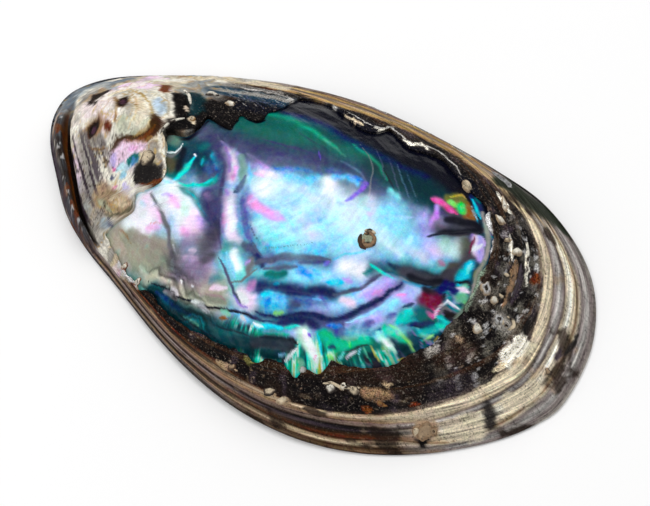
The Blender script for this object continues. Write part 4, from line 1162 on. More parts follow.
def banded_colour(x, y, growth, spread, palette):
    """The crust's growth bands with their fine lines, and the dark and pale grit next to the nacre."""
    moved = np.clip(growth - 0.0035 * rough_noise(spread * 9, growth * 4, 1.0, 3), 0, 1)
    turned = np.degrees(spread) + 2.5 * rough_noise(x, y, 6.0, 2)
    colour, place = np.zeros((len(x), 3)), band_place(moved, np.degrees(spread))
    for (start, before), (end, after) in zip(BANDS_BY_DIRECTION, BANDS_BY_DIRECTION[1:]):
        here = (turned >= start) & (turned < end)
        tones = [tone_at(place[here], *zip(*bands), palette) for bands in (before, after)]
        colour[here] = mix(*tones, (turned[here] - start) / (end - start))
    lines = rough_noise(moved * 300, spread * 1.5, 1.0, 2)
    lines += 0.7 * rough_noise(moved * 120, spread * 2, 1.0, 2)
    blotches = rough_noise(growth * 26, spread * 16, 1.0, 4)
    pale = smooth_step(0.45, 0.7, rough_noise(growth * 40, spread * 30, 1.0, 3))
    gritty, ribs = grit(x, y), rough_noise(moved * 70, spread * 2.5, 1.0, 3)
    dusty = gritty * smooth_step(38, 48, x) * smooth_step(-24, -10, y)
    return paint(
        colour * (1 + 0.30 * lines)[:, None], palette,
        ("umber", 0.75 * smooth_step(0.42, 0.62, blotches)),
        ("sand", 0.5 * pale * smooth_step(0.87, 0.9, growth)),
        ("umber", 0.8 * gritty * smooth_step(0.1, 0.6, rough_noise(x, y, 5.0, 3))),
        ("plum_grey", 0.7 * gritty * smooth_step(0.1, 0.5, rough_noise(x + 40, y, 3.0, 3))),
        ("sand", 0.5 * gritty * smooth_step(0.62, 0.75, rough_noise(x, y, 1.1, 3))),
        ("brown_patch", 0.55 * gritty * smooth_step(0.08, 0.4, ribs)),
        ("black", 0.7 * gritty * smooth_step(-0.1, -0.4, ribs)),
        ("stone", 0.45 * dusty * smooth_step(-0.15, 0.35, rough_noise(x, y + 20, 2.0, 4))),
        ("white_grey", 0.7 * dusty * smooth_step(0.36, 0.44, rough_noise(x + 8, y, 1.4, 4))),
    )


def with_spire_layers(colour, x, y, growth, layer, palette):
    """Adds the old layers that show over the spire."""
    tones = np.array([palette[name] for name in LAYER_TONES])[layer.astype(int) % len(LAYER_TONES)]
    tones = paint(
        tones, palette,
        ("shell_grey", 0.35 * smooth_step(0.0, 0.7, rough_noise(x, y, 3.5, 4))),
        ("sky_grey", 0.6 * smooth_step(0.1, 0.5, rough_noise(x + 60, y, 6.0, 3))),
    )
    return mix(colour, tones, spire_side(x, y) * (growth < 0.93))


def with_spire_wear(colour, x, y, inward, angle, edge, within, palette):
    """Adds the golden edges of the layers, the strokes on the spire's flank, bleaching, pits and crazing."""
    over_spire = spire_side(x, y)
    flaked = smooth_step(-0.3, 0.3, rough_noise(x, y + 50, 4.0, 2))
    pale_ground = smooth_step(0.3, 0.55, colour.mean(axis=1))
    flank = smooth_step(-52, -60, x + 0.9 * (y + 12)) + smooth_step(-8, -16, y) * smooth_step(-44, -48, x)
    flank *= smooth_step(-5, -10, y)
    strokes = smooth_step(0.02, 0.3, rough_noise(inward * 1.4, angle * 6, 1.0, 4))
    bleached = smooth_step(0.0, 0.5, rough_noise(x - 30, y, 5.0, 3)) * smooth_step(-11, -6, y)
    colour = paint(
        colour, palette,
        ("golden", 0.75 * over_spire * edge * flaked * pale_ground),
        ("plum_grey", 0.75 * over_spire * flank * strokes),
        ("ivory", 0.5 * over_spire * bleached * pale_ground),
    )
    wear = 0.12 * rough_noise(x, y, 1.6, 4) + 0.08 * np.cos(10 * math.pi * within) - 0.02
    colour = colour * (1 + over_spire * wear)[:, None]
    for sx, sy, radius, _ in SPIRE_PITS[:2]:
        dent = bump(x, y, (sx, sy), radius) + 0.12 * rough_noise(x, y, 1.0, 3)
        colour = paint(
            colour, palette,
            ("brown_patch", 0.9 * smooth_step(0.22, 0.4, dent)),
            ("black_brown", 0.9 * smooth_step(0.42, 0.55, dent)),
            ("plum", 0.8 * smooth_step(0.7, 0.9, dent)),
        )
    crazed = 0.12 + sum(bump(x, y, (sx, sy), size) for sx, sy, size in CRAZED_SPOTS)
    cracks = 1 - smooth_step(0.0, 0.09, np.abs(rough_noise(x, y, 2.0, 4)))
    return paint(colour, palette, ("umber", 0.8 * np.clip(over_spire * crazed, 0, 1) * cracks))


def with_slot_and_lip(colour, x, y, inward, angle, palette):
    """Adds the streaked lip that wraps round the spire, and the dark slot with its amber edge."""
    share = inward / by_direction(EDGE_SHARES, angle)
    slot, lip = slot_shape(share, angle)
    fibres = rough_noise(inward * 4.5, angle * 7, 1.0, 3)
    tone = paint(
        plain(palette["lip_blue"], x), palette,
        ("dark_grey", 0.95 + 1.1 * fibres),
        ("umber", 0.7 * smooth_step(-0.1, 0.3, rough_noise(x - 9, y, 2.4, 4))),
        ("white_grey", 0.8 * smooth_step(0.34, 0.42, rough_noise(x, y, 0.9, 4))),
        ("rust", 0.8 * smooth_step(0.3, 0.45, rough_noise(x + 17, y, 3.0, 4))),
    )
    return paint(
        mix(colour, tone, lip), palette,
        ("black_brown", slot), ("amber", 0.9 * slot * (share < SLOT_MIDDLE - 0.35)),
    )


def crust_colour(x, y, inward, angle, palette):
    """Colours of the crust: growth bands, the spire's worn layers, the painted marks, slot and lip."""
    growth, spread = growth_and_spread(x, y)
    layer, edge, within = worn_layers(x, y)
    colour = banded_colour(x, y, growth, spread, palette)
    colour = with_spire_layers(colour, x, y, growth, layer, palette)
    colour = add_marks(colour, x, y, CRUST_MARKS, palette, CRUST_WANDER)
    colour = with_spire_wear(colour, x, y, inward, angle, edge, within, palette)
    return with_slot_and_lip(colour, x, y, inward, angle, palette)


def hollow_colour(x, y, height, palette):
    """Colours of the inner nacre and of the scar in its middle."""
    growth, spread = growth_and_spread(x, y)
    swirl = 1.5 * rough_noise(x, y, 19.0, 4) + 0.35 * rough_noise(x, y, 5.0, 3)
    phase = 2.4 * growth + swirl + 0.05 * height
    whitened = 0.28 + 0.25 * rough_noise(x, y, 11.0, 3)
    scar = from_scar(x, y)
    inside = 1 - smooth_step(0.95, 1.02, scar)
    blotched = mix(sheen(phase * 2.3, palette), palette["dark_teal"], 0.45 + 0.5 * rough_noise(x, y, 2.2, 3))
    colour = mix(paint(sheen(phase, palette), palette, ("white", whitened)), blotched, 0.85 * inside)
    colour = mix(colour, palette["sage"], 0.6 * np.exp(-(((scar - 1.0) / 0.035) ** 2)))
    folds = rough_noise(growth * 70, spread * 5, 1.0, 3)
    return colour * (1 + 0.12 * folds)[:, None]


def lip_colour(x, y, palette):
    """Colours of the flat lip round the hollow, dark along the rim."""
    phase = 2.4 * RIM_FROM_APEX.share(x, y) + rough_noise(x, y, 12.0, 3)
    lip = mix(plain(palette["pearl"], x), palette["stone"], 0.5 + rough_noise(x, y, 8.0, 3))
    lip = mix(lip, sheen(phase, palette), np.full(len(x), 0.35))
    from_rim = inward_of(x, y) + 0.4 * rough_noise(x, y, 2.0)
    return mix(lip, palette["black_brown"], 1 - smooth_step(0.6, 1.8, from_rim))


def ring_angles(count, crowding):
    """Directions round the shell's middle, set closer together towards the spire."""
    even = np.linspace(-math.pi, math.pi, 4001)
    density = 1 + crowding * (1 - np.cos(even)) / 2
    passed = np.concatenate([[0], np.cumsum((density[1:] + density[:-1]) / 2)])
    return np.interp(np.arange(count) / count * passed[-1], passed, even)


def middle_and_rings(rings):
    """Corner points of a stack of rings, with a point that closes it at each end."""
    return np.concatenate([rings[0].mean(axis=0)[None], *rings, rings[-1].mean(axis=0)[None]])


def stack_faces(ring_count, segments, first=0):
    """Faces of a stack of rings that is closed at both ends."""
    step = np.arange(segments)
    after = (step + 1) % segments
    faces = [[first, first + 1 + a, first + 1 + b] for a, b in zip(step.tolist(), after.tolist())]
    for ring in range(ring_count - 1):
        start, end = first + 1 + ring * segments, first + 1 + (ring + 1) * segments
        faces += np.stack([start + step, end + step, end + after, start + after], axis=1).tolist()
    last, final = first + 1 + (ring_count - 1) * segments, first + 1 + ring_count * segments
    return faces + [[last + a, final, last + b] for a, b in zip(step.tolist(), after.tolist())]


def add_mesh(name, points, faces, material, tint, **values):
    """An object of the given points in millimetres, painted point by point with linear colours."""
    mesh = bpy.data.meshes.new(name)
    mesh.from_pydata((points * MM).tolist(), [], faces)
    mesh.polygons.foreach_set("use_smooth", np.ones(len(mesh.polygons), bool))
    mesh.materials.append(material)
    colours = np.concatenate([to_linear(tint), np.ones((len(tint), 1))], axis=1)
    mesh.attributes.new("tint", "FLOAT_COLOR", "POINT").data.foreach_set("color", colours.ravel())
    for key, amounts in values.items():
        mesh.attributes.new(key, "FLOAT", "POINT").data.foreach_set("value", np.asarray(amounts, float))
    mesh.update()
    thing = bpy.data.objects.new(name, mesh)
    bpy.context.scene.collection.objects.link(thing)
    return thing


def as_shell_piece(piece):
    """Files a piece under the shell's body, slot and node."""
    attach(piece, "root")
    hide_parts("shell")


def at(radius, angle, height):
    """Points in plan polar form round the shell's middle."""
    x, y = MESH_CENTRE[0] + radius * np.cos(angle), MESH_CENTRE[1] + radius * np.sin(angle)
    return np.stack([x, y, np.broadcast_to(height, radius.shape)], axis=1)


# Hidden sides: how far below the nacre and above the hollow the crust's closed back lies, and where each
# piece's hidden rings are, as shares of its edge. The flat lip has so many rings across.
CRUST_UNDER_NACRE = 1.7
CRUST_OVER_HOLLOW = 1.0
CRUST_UNDER_NACRE_SHARES = (0.1, 0.25, 0.4, 0.55, 0.7, 0.85, 0.96)
CRUST_BACK_SHARES = (0.99, 0.9, 0.82, 0.74, 0.66, 0.57, 0.45, 0.33, 0.2, 0.05)
NACRE_BACK_SHARES = (0.96, 0.85, 0.7, 0.5, 0.3, 0.1)
HOLLOW_BACK_SHARES = (0.1, 0.3, 0.5, 0.7, 0.85, 0.97, 1.0)
LIP_RINGS = 6


def crust_rings(sizes):
    """Rings of the crust, out to the rim and back in under it, and how many come before the lip."""
    angle = ring_angles(sizes.crust_segments, 0.6)
    rim, worn = RIM_FROM_MIDDLE.reach(angle), worn_reach(angle)
    sunk = sizes.crust_step / MM

    def surface(radius, on_nacre):
        ring = at(radius, angle, 0.0)
        ring[:, 2] = outer_height(ring[:, 0], ring[:, 1], rim - radius, angle, on_nacre)
        return ring

    rings = []
    for share in CRUST_UNDER_NACRE_SHARES:
        ring = at(worn * share, angle, 0.0)
        ring[:, 2] = smooth_height(ring[:, 0], ring[:, 1], rim - worn * share, angle) - CRUST_UNDER_NACRE
        rings.append(ring)
    foot, top = surface(worn, 1.0), surface(worn, 0.0)
    foot[:, 2] -= sunk
    for share in (0.45, 0.85):
        lifted = foot + (top - foot) * share
        lifted[:, :2] -= 0.12 * share * (lifted[:, :2] - MESH_CENTRE) / worn[:, None]
        rings.append(lifted)
    for step in range(sizes.crust_rings):
        share = step / (sizes.crust_rings - 1)
        rings.append(surface(worn + (rim - worn) * share, 0.0))
    gap = by_direction(RIM_GAPS, angle)
    rings[-1][:, 2] = gap + LIP_ROUNDING
    for turn in (30, 60, 90):
        inward = LIP_ROUNDING * (1 - math.cos(math.radians(turn)))
        x, y = inset(angle, inward)
        rings.append(np.stack([x, y, gap + LIP_ROUNDING * (1 - math.sin(math.radians(turn)))], axis=1))
    before_lip = len(rings)
    lip = by_direction(LIP_WIDTHS, angle)
    for share in np.linspace(0, 1, LIP_RINGS + 1)[1:]:
        x, y = inset(angle, LIP_ROUNDING + (lip - LIP_ROUNDING) * share)
        uneven = 0.12 * rough_noise(x, y, 3.0, 3) * math.sin(math.pi * share)
        rings.append(np.stack([x, y, gap + np.abs(uneven)], axis=1))
    edge = rings[-1]
    for share in CRUST_BACK_SHARES:
        x = MESH_CENTRE[0] + (edge[:, 0] - MESH_CENTRE[0]) * share
        y = MESH_CENTRE[1] + (edge[:, 1] - MESH_CENTRE[1]) * share
        height = hollow_height(x, y, angle, HOLLOW_FROM_TOP.share(x, y)) + CRUST_OVER_HOLLOW
        rings.append(np.stack([x, y, height], axis=1))
    return rings, angle, before_lip


# The pins that cut the breathing holes: length, sides, foot and top as shares of the radius, and stretch.
PIN_LENGTH = 24
PIN_SIDES = 40
PIN_FOOT = 0.85
PIN_TOP = 1.25
PIN_STRETCH = 1.25


def hole_cutter(palette):
    """One tapered oval pin for each open breathing hole, all in one helper mesh."""
    pins = bmesh.new()
    for number, (x, y) in enumerate(HOLE_SPOTS):
        spot, outward = surface_at(x, y)
        radius = HOLE_RADIUS + HOLE_GROWTH * (len(HOLE_SPOTS) - 1 - number) / 3
        made = bmesh.ops.create_cone(
            pins, cap_ends=True, segments=PIN_SIDES, depth=PIN_LENGTH * MM,
            radius1=radius * PIN_FOOT * MM, radius2=radius * PIN_TOP * MM,
        )["verts"]
        bmesh.ops.scale(pins, verts=made, vec=(PIN_STRETCH, 1.0, 1.0))
        bmesh.ops.rotate(pins, verts=made, matrix=outward.to_track_quat("Z", "Y").to_matrix())
        bmesh.ops.translate(pins, verts=made, vec=spot)
    mesh = bpy.data.meshes.new("hole_cutter")
    pins.to_mesh(mesh)
    pins.free()
    colours = np.tile([*to_linear(palette["stone"]), 1.0], len(mesh.vertices))
    mesh.attributes.new("tint", "FLOAT_COLOR", "POINT").data.foreach_set("color", colours)
    thing = bpy.data.objects.new("hole_cutter", mesh)
    bpy.context.scene.collection.objects.link(thing)
    return thing


def cut_holes(piece, palette):
    """Cuts the open breathing holes through a piece and keeps the result as its mesh."""
    cutter = hole_cutter(palette)
    cut = piece.modifiers.new("breathing_holes", "BOOLEAN")
    cut.operation, cut.solver, cut.object = "DIFFERENCE", "EXACT", cutter
    shown = piece.evaluated_get(bpy.context.evaluated_depsgraph_get())
    cut_mesh = bpy.data.meshes.new_from_object(shown)
    piece.modifiers.clear()
    piece.data = cut_mesh
    bpy.data.objects.remove(cutter)


def surface_height(x, y):
    """Height of the outside at any point, on the nacre or on the crust."""
    angle, inward = angle_of(x, y), inward_of(x, y)
    on_nacre = (NACRE_FROM_MIDDLE.share(x, y) < 1).astype(float)
    return outer_height(x, y, inward, angle, on_nacre)


def surface_at(x, y):
    """Point on the outside in metres, and the way the surface faces there."""
    step = 1.5
    xs, ys = np.array([x, x + step, x - step, x, x]), np.array([y, y, y, y + step, y - step])
    middle, east, west, north, south = surface_height(xs, ys)
    facing = Vector(((west - east) / (2 * step), (south - north) / (2 * step), 1.0)).normalized()
    return Vector((x * MM, y * MM, middle * MM)), facing


def nacre_rings(sizes):
    """Rings of the worn nacre, out to its edge under the crust and back in on its hidden side."""
    angle = ring_angles(sizes.nacre_segments, 0.0)
    worn, rim = worn_reach(angle), RIM_FROM_MIDDLE.reach(angle)
    thick = sizes.nacre_thickness / MM
    tuck = sizes.nacre_tuck / MM

    def surface(radius, sunk):
        ring = at(radius, angle, 0.0)
        ring[:, 2] = outer_height(ring[:, 0], ring[:, 1], rim - radius, angle, 1.0) - sunk
        return ring

    rings = [surface(worn * step / sizes.nacre_rings, 0.0) for step in range(1, sizes.nacre_rings + 1)]
    rings.append(surface(worn + tuck / 2, 0.15))
    rings.append(surface(worn + tuck, 0.5))
    rings.append(surface(worn + tuck, 0.9))
    for share in NACRE_BACK_SHARES:
        ring = at(worn * share, angle, 0.0)
        ring[:, 2] = smooth_height(ring[:, 0], ring[:, 1], rim - worn * share, angle) - thick
        rings.append(ring)
    return rings, angle


def hollow_rings(sizes):
    """Rings of the inner nacre, out on its hidden side and back in on the side that shows."""
    angle = ring_angles(sizes.hollow_segments, 0.0)
    edge_x, edge_y = inset(angle, by_direction(LIP_WIDTHS, angle))

    def surface(share, lifted):
        x = MESH_CENTRE[0] + (edge_x - MESH_CENTRE[0]) * share
        y = MESH_CENTRE[1] + (edge_y - MESH_CENTRE[1]) * share
        return np.stack([x, y, hollow_height(x, y, angle, HOLLOW_FROM_TOP.share(x, y)) + lifted], axis=1)

    hidden = [surface(share, sizes.hollow_thickness / MM) for share in HOLLOW_BACK_SHARES]
    steps = np.linspace(1, 0, sizes.hollow_rings + 1)[:-1]
    shown = [surface(share, 0.0) for share in steps * (1 + 0.35 * (1 - steps))]
    return hidden + shown


class NodeSet:
    """A new material's nodes, with short calls to add and join them."""

    def __init__(self, name):
        self.material = bpy.data.materials.new(name)
        self.material.use_nodes = True
        self.tree = self.material.node_tree
        self.shader = self.tree.nodes["Principled BSDF"]

    def join(self, value, socket):
        if isinstance(value, bpy.types.NodeSocket):
            self.tree.links.new(value, socket)
        else:
            socket.default_value = value

    def add(self, kind, *inputs, output=0, named=None, **settings):
        """Adds a node, sets its inputs in order or by name, and returns one of its outputs."""
        node = self.tree.nodes.new(kind)
        for key, value in settings.items():
            setattr(node, key, value)
        for place, value in [*enumerate(inputs), *(named or {}).items()]:
            self.join(value, node.inputs[place])
        return node.outputs[output]

    def place(self):
        """The point's place on the shell in metres."""
        return self.add("ShaderNodeTexCoord", output=3)

    def painted(self, name, output=2):
        """A value that was stored with each point of the mesh."""
        return self.add("ShaderNodeAttribute", attribute_name=name, output=output)

    def calc(self, kind, a, b):
        return self.add("ShaderNodeMath", a, b, operation=kind)

    def grain(self, place, scale, detail=4.0, roughness=0.6):
        """Noise from 0 to 1, with so many grains to a metre."""
        named = {"Vector": place, "Scale": scale, "Detail": detail, "Roughness": roughness}
        return self.add("ShaderNodeTexNoise", named=named)

    def growth_grain(self, rings, rays, detail, roughness=0.6):
        """Noise that runs with the growth lines: so many grains on the way to the rim, and to a radian."""
        turned = self.calc("MULTIPLY", self.painted("spread"), rays)
        place = self.add("ShaderNodeCombineXYZ", self.calc("MULTIPLY", self.painted("growth"), rings), turned)
        return self.grain(place, 1.0, detail, roughness)

    def remap(self, value, low, high, to_low=0.0, to_high=1.0):
        return self.add("ShaderNodeMapRange", value, low, high, to_low, to_high)

    def vary(self, grain, low, high):
        """Spreads the usual range of a grain between two limits."""
        return self.remap(grain, 0.3, 0.7, low, high)

    def shade(self, hue, saturation, light):
        """The painted tint with its hue, saturation and lightness changed."""
        return self.add("ShaderNodeHueSaturation", hue, saturation, light, 1.0, self.painted("tint", 0))

    def blend(self, weight, colour, other):
        return self.add("ShaderNodeMix", data_type="RGBA", output=2, named={0: weight, 6: colour, 7: other})

    def relief(self, height, distance, strength=1.0, under=None):
        named = {"Height": height, "Distance": distance, "Strength": strength}
        if under is not None:
            named["Normal"] = under
        return self.add("ShaderNodeBump", named=named)

    def finished(self, **inputs):
        """Joins or sets the shader's inputs, and returns the material."""
        for name, value in inputs.items():
            self.join(value, self.shader.inputs[name.replace("_", " ")])
        return self.material


SPECULAR_LEVEL = 0.25
PIT_TONE = (0.012, 0.010, 0.008, 1)
SPECK_TONE = (0.40, 0.34, 0.28, 1)
PORE_TONE = (0.045, 0.035, 0.025, 1)


def nacre_material(finish):
    """Polished mother of pearl: painted colour with fine streaks along the growth lines, under a gloss."""
    nodes = NodeSet("polished_nacre")
    place = nodes.place()
    streaks = nodes.growth_grain(140.0, 14.0, 6.0, 0.65)
    fine = nodes.grain(place, 2400.0)
    light = nodes.calc("ADD", nodes.vary(streaks, -0.10, 0.10), nodes.vary(fine, 1.05, 1.15))
    hue = nodes.vary(nodes.grain(place, 620.0, 3.0), 0.47, 0.53)
    saturation = nodes.vary(nodes.grain(place, 900.0, 3.0), 1.0, 1.25)
    return nodes.finished(
        Base_Color=nodes.shade(hue, saturation, light), Metallic=finish.nacre_metal,
        Roughness=nodes.vary(fine, finish.nacre_roughness - 0.05, finish.nacre_roughness + 0.09),
        Coat_Weight=finish.nacre_coat, Coat_Roughness=finish.nacre_coat_roughness,
        Normal=nodes.relief(fine, 0.00005, 0.3, nodes.relief(streaks, 0.00008, 0.5)),
        Specular_IOR_Level=SPECULAR_LEVEL, IOR=finish.reflection,
    )


def crust_material(finish):
    """Weathered crust: painted bands with fine lines and cracks, gritty specks, pits and a dull surface."""
    nodes = NodeSet("weathered_crust")
    place = nodes.place()
    gritty = nodes.painted("grit")
    banded = nodes.calc("SUBTRACT", 1.0, nodes.painted("worn"))
    roughened = nodes.remap(banded, 0.0, 1.0, 0.35, 1.0)
    lines = nodes.growth_grain(420.0, 9.0, 5.0)
    broad = nodes.growth_grain(160.0, 14.0, 4.0, 0.55)
    across = nodes.growth_grain(30.0, 110.0, 3.0, 0.5)
    fine = nodes.grain(place, 2300.0, 5.0, 0.75)
    specks = nodes.grain(place, 2000.0, 4.0, 0.75)
    fleck = nodes.calc("MULTIPLY", nodes.remap(fine, 0.35, 0.65, -0.32, 0.32), roughened)
    lined = nodes.calc(
        "ADD", nodes.remap(lines, 0.35, 0.65, -0.30, 0.30), nodes.remap(broad, 0.4, 0.6, -0.28, 0.28)
    )
    light = nodes.calc("ADD", nodes.calc("MULTIPLY", lined, banded), nodes.calc("ADD", fleck, 1.0))
    from_crack = nodes.calc("ABSOLUTE", nodes.calc("SUBTRACT", across, 0.5), 0.0)
    cracks = nodes.calc("MULTIPLY", nodes.remap(from_crack, 0.0, 0.016, 0.6, 0.0), banded)
    sparkle = nodes.remap(nodes.grain(place, 3000.0, 3.0, 0.8), 0.42, 0.62, -0.5, 1.5)
    light = nodes.calc("ADD", nodes.calc("SUBTRACT", light, cracks), nodes.calc("MULTIPLY", sparkle, gritty))
    shaded = nodes.shade(nodes.vary(nodes.grain(place, 500.0, 3.0), 0.48, 0.52), 1.0, light)
    pits = nodes.remap(nodes.grain(place, 1500.0, 3.0, 0.7), 0.30, 0.38, 0.75, 0.0)
    pitted = nodes.blend(nodes.calc("MULTIPLY", pits, roughened), shaded, PIT_TONE)
    pale = nodes.calc("MULTIPLY", nodes.remap(specks, 0.58, 0.66), nodes.remap(gritty, 0.0, 1.0, 0.25, 1.0))
    rough = nodes.relief(
        nodes.grain(place, 1100.0, 6.0, 0.7), 0.0004, nodes.remap(gritty, 0.0, 1.0, 0.35, 1.0)
    )
    return nodes.finished(
        Base_Color=nodes.blend(nodes.calc("MULTIPLY", pale, 0.6), pitted, SPECK_TONE),
        Roughness=nodes.vary(fine, finish.crust_roughness - 0.12, finish.crust_roughness + 0.12),
        Normal=nodes.relief(fine, 0.0001, 0.8, nodes.relief(lines, 0.00015, 0.6, rough)),
        Specular_IOR_Level=SPECULAR_LEVEL, IOR=finish.reflection,
    )


def hollow_material(finish):
    """Inner nacre and lip: smoother and wetter looking than the worn outside."""
    nodes = NodeSet("inner_nacre")
    place = nodes.place()
    clouds = nodes.grain(place, 260.0, 5.0)
    fine = nodes.grain(place, 1900.0)
    return nodes.finished(
        Base_Color=nodes.shade(nodes.vary(clouds, 0.46, 0.54), 1.1, nodes.vary(fine, 0.88, 1.12)),
        Metallic=finish.nacre_metal,
        Roughness=nodes.vary(fine, finish.hollow_roughness - 0.04, finish.hollow_roughness + 0.08),
        Coat_Weight=finish.nacre_coat, Coat_Roughness=finish.nacre_coat_roughness,
        Normal=nodes.relief(fine, 0.00004, 0.5, nodes.relief(clouds, 0.0005, 0.5)),
    )


def lump_material(finish):
    """Chalky barnacle and worm cast."""
    nodes = NodeSet("chalky_growth")
    place = nodes.place()
    pores = nodes.grain(place, 1700.0, 6.0, 0.75)
    patches = nodes.grain(place, 700.0)
    light = nodes.calc("MULTIPLY", nodes.vary(pores, 0.72, 1.2), nodes.vary(patches, 0.85, 1.12))
    holes = nodes.remap(nodes.grain(place, 1200.0, 3.0, 0.7), 0.34, 0.44, 0.85, 0.0)
    return nodes.finished(
        Base_Color=nodes.blend(holes, nodes.shade(0.5, 1.0, light), PORE_TONE),
        Roughness=finish.growth_roughness, Normal=nodes.relief(pores, 0.0003, 0.9),
    )


# Barnacles and worm casts: x, y, half length, half width, turn, rise, share of pit, colours of top and foot.
GROWTHS = (
    (20.7, -2.6, 1.9, 1.5, 30, 0.7, 0, "sage", "umber"),
    (30, 26.3, 1.5, 1.2, -60, 1.0, 0, "cream", "sand"),
    (39, 29.2, 2.8, 0.8, -52, 0.8, 0, "ivory", "sand"),
    (41, 23.7, 1.4, 1.1, -10, 1.1, 0, "ivory", "sand"),
    (45.3, 20.4, 1.1, 0.5, 60, 0.7, 0, "cream", "sand"),
    (48.5, 19.3, 1.5, 1.2, 60, 1.2, 0, "ivory", "sand"),
    (49.9, 12.3, 0.8, 0.5, 60, 0.6, 0, "cream", "umber"),
    (48.2, 5.6, 1.4, 1.5, 20, 1.2, 1, "white_grey", "sand"),
    (51, 4.8, 0.9, 1.0, -30, 0.9, 0, "ivory", "sand"),
    (51.7, 6.9, 0.8, 0.5, 30, 0.6, 0, "cream", "umber"),
    (51.5, -3.4, 1.3, 1.1, 70, 1.1, 0, "ivory", "sand"),
    (54.2, 2, 1.2, 1.2, 20, 1.0, 1, "white_grey", "shell_grey"),
    (56.2, 2, 1.1, 1.0, 70, 0.9, 1, "shell_grey", "shell_grey"),
    (-35.7, -11.5, 1.8, 1.8, -30, 1.2, 0, "cream", "umber"),
    (-34.3, 12.3, 1.8, 1.2, 15, 1.2, 0, "ivory", "umber"),
    (-27.9, 11.1, 1.3, 0.8, 10, 0.9, 0, "ivory", "sand"),
    (-31.8, 1.5, 0.7, 0.7, 0, 0.7, 0, "cream", "ochre"),
    (31.2, -32.8, 1.3, 0.9, 25, 0.8, 0, "ivory", "umber"),
    (33.3, -31.1, 0.9, 0.8, 60, 0.8, 1, "ivory", "sand"),
    (35.6, -30.3, 1.5, 0.9, 20, 0.8, 0, "cream", "umber"),
    (19, -40, 1.5, 0.8, 35, 0.7, 0, "cream", "umber"),
    (22.7, -39.8, 1.5, 0.8, 30, 0.7, 0, "cream", "sand"),
    (53, -26.7, 1.9, 1.5, 40, 1.1, 0, "sand", "tan"),
    (51.3, -27.9, 0.9, 0.8, 20, 0.8, 0, "cream", "tan"),
    (54.6, -25.5, 1.0, 0.8, 10, 0.9, 1, "sand", "tan"),
    (23.8, -33.2, 0.8, 0.7, 0, 0.5, 0, "white_grey", "shell_grey"),
    (-29.8, -31.1, 1.0, 0.7, 55, 0.7, 0, "ivory", "rust"),
    (-24.6, -32.8, 1.1, 0.7, 45, 0.7, 0, "ivory", "rust"),
    (8.6, -40, 1.0, 0.5, 30, 0.5, 0, "sand", "brown_patch"),
    (41.9, -28.8, 0.7, 0.5, 20, 0.6, 0, "ochre", "rust"),
    (68.6, 1.7, 0.8, 0.7, 40, 0.6, 0, "sand", "umber"),
)


# Worm tubes: colour, half thickness, then x and y of each bend.
WORM_TUBES = (
    ("tan", 0.55, 19.3, -1.9, 20.4, -0.9, 21.9, -1.3, 22.4, -2.9, 21.5, -4.2, 20.3, -3.9, 20.2, -2.8, 21.2,
     -2.4),
    ("brown_patch", 0.5, 18.9, -2.4, 19.4, -3.8, 20.6, -4.9, 21.8, -4.8),
    ("cream", 0.45, 19.0, -1.2, 20.0, -0.3, 21.4, -0.2),
    ("cream", 0.4, 55.2, 4.0, 56.6, 4.4, 57.6, 3.4, 57.2, 2.0, 55.8, 1.6, 54.8, 2.6),
    ("ivory", 0.32, 48.6, 24.1, 50.5, 21.4, 52.3, 17.9, 54.3, 14.2),
    ("tan", 0.5, 49.5, 17.3, 51.4, 13.2, 52.6, 9.1, 53.4, 5.6),
    ("plum_grey", 0.4, 50.8, 17.5, 52.7, 12.9, 53.8, 8.5),
    ("ivory", 0.4, -40.6, 9.3, -37.4, 7.4, -35, 5),
    ("ivory", 0.35, -36.8, -5.1, -36.5, -3.4, -35.2, -1.5, -33.5, 0.6),
    ("cream", 0.35, 29.1, -33, 30.6, -31.9, 32.9, -31.6, 34.8, -30.4, 36.9, -29.1),
)


TUBE_STEPS_PER_BEND = 9
TUBE_SIDES = 14
LUMP_RINGS = 18
LUMP_SIDES = 48


def tube_rings(half_thickness, *numbers):
    """Rings along a bent tube that lies on the shell, narrowed at its ends."""
    bends = np.reshape(numbers, (-1, 2))
    steps = np.linspace(0, len(bends) - 1, TUBE_STEPS_PER_BEND * len(bends))
    x = np.interp(steps, range(len(bends)), bends[:, 0])
    y = np.interp(steps, range(len(bends)), bends[:, 1])
    for _ in range(4):
        x[1:-1], y[1:-1] = (x[:-2] + 2 * x[1:-1] + x[2:]) / 4, (y[:-2] + 2 * y[1:-1] + y[2:]) / 4
    height = surface_height(x, y)
    heading = np.arctan2(np.gradient(y), np.gradient(x))
    turn = np.linspace(0, 2 * math.pi, TUBE_SIDES + 1)[:-1]
    rings = []
    for place in range(len(x)):
        end_share = math.sin(math.pi * (place + 0.5) / len(x)) ** 0.35
        knobs = rough_noise(x[place] + 5 * turn / math.pi, y[place], 0.8, 2)
        thick = half_thickness * end_share * (1 + 0.25 * knobs)
        sideways, up = thick * np.cos(turn), thick * np.sin(turn)
        rings.append(np.stack([
            x[place] - sideways * math.sin(heading[place]), y[place] + sideways * math.cos(heading[place]),
            height[place] + 0.3 * half_thickness + up,
        ], axis=1))
    return rings


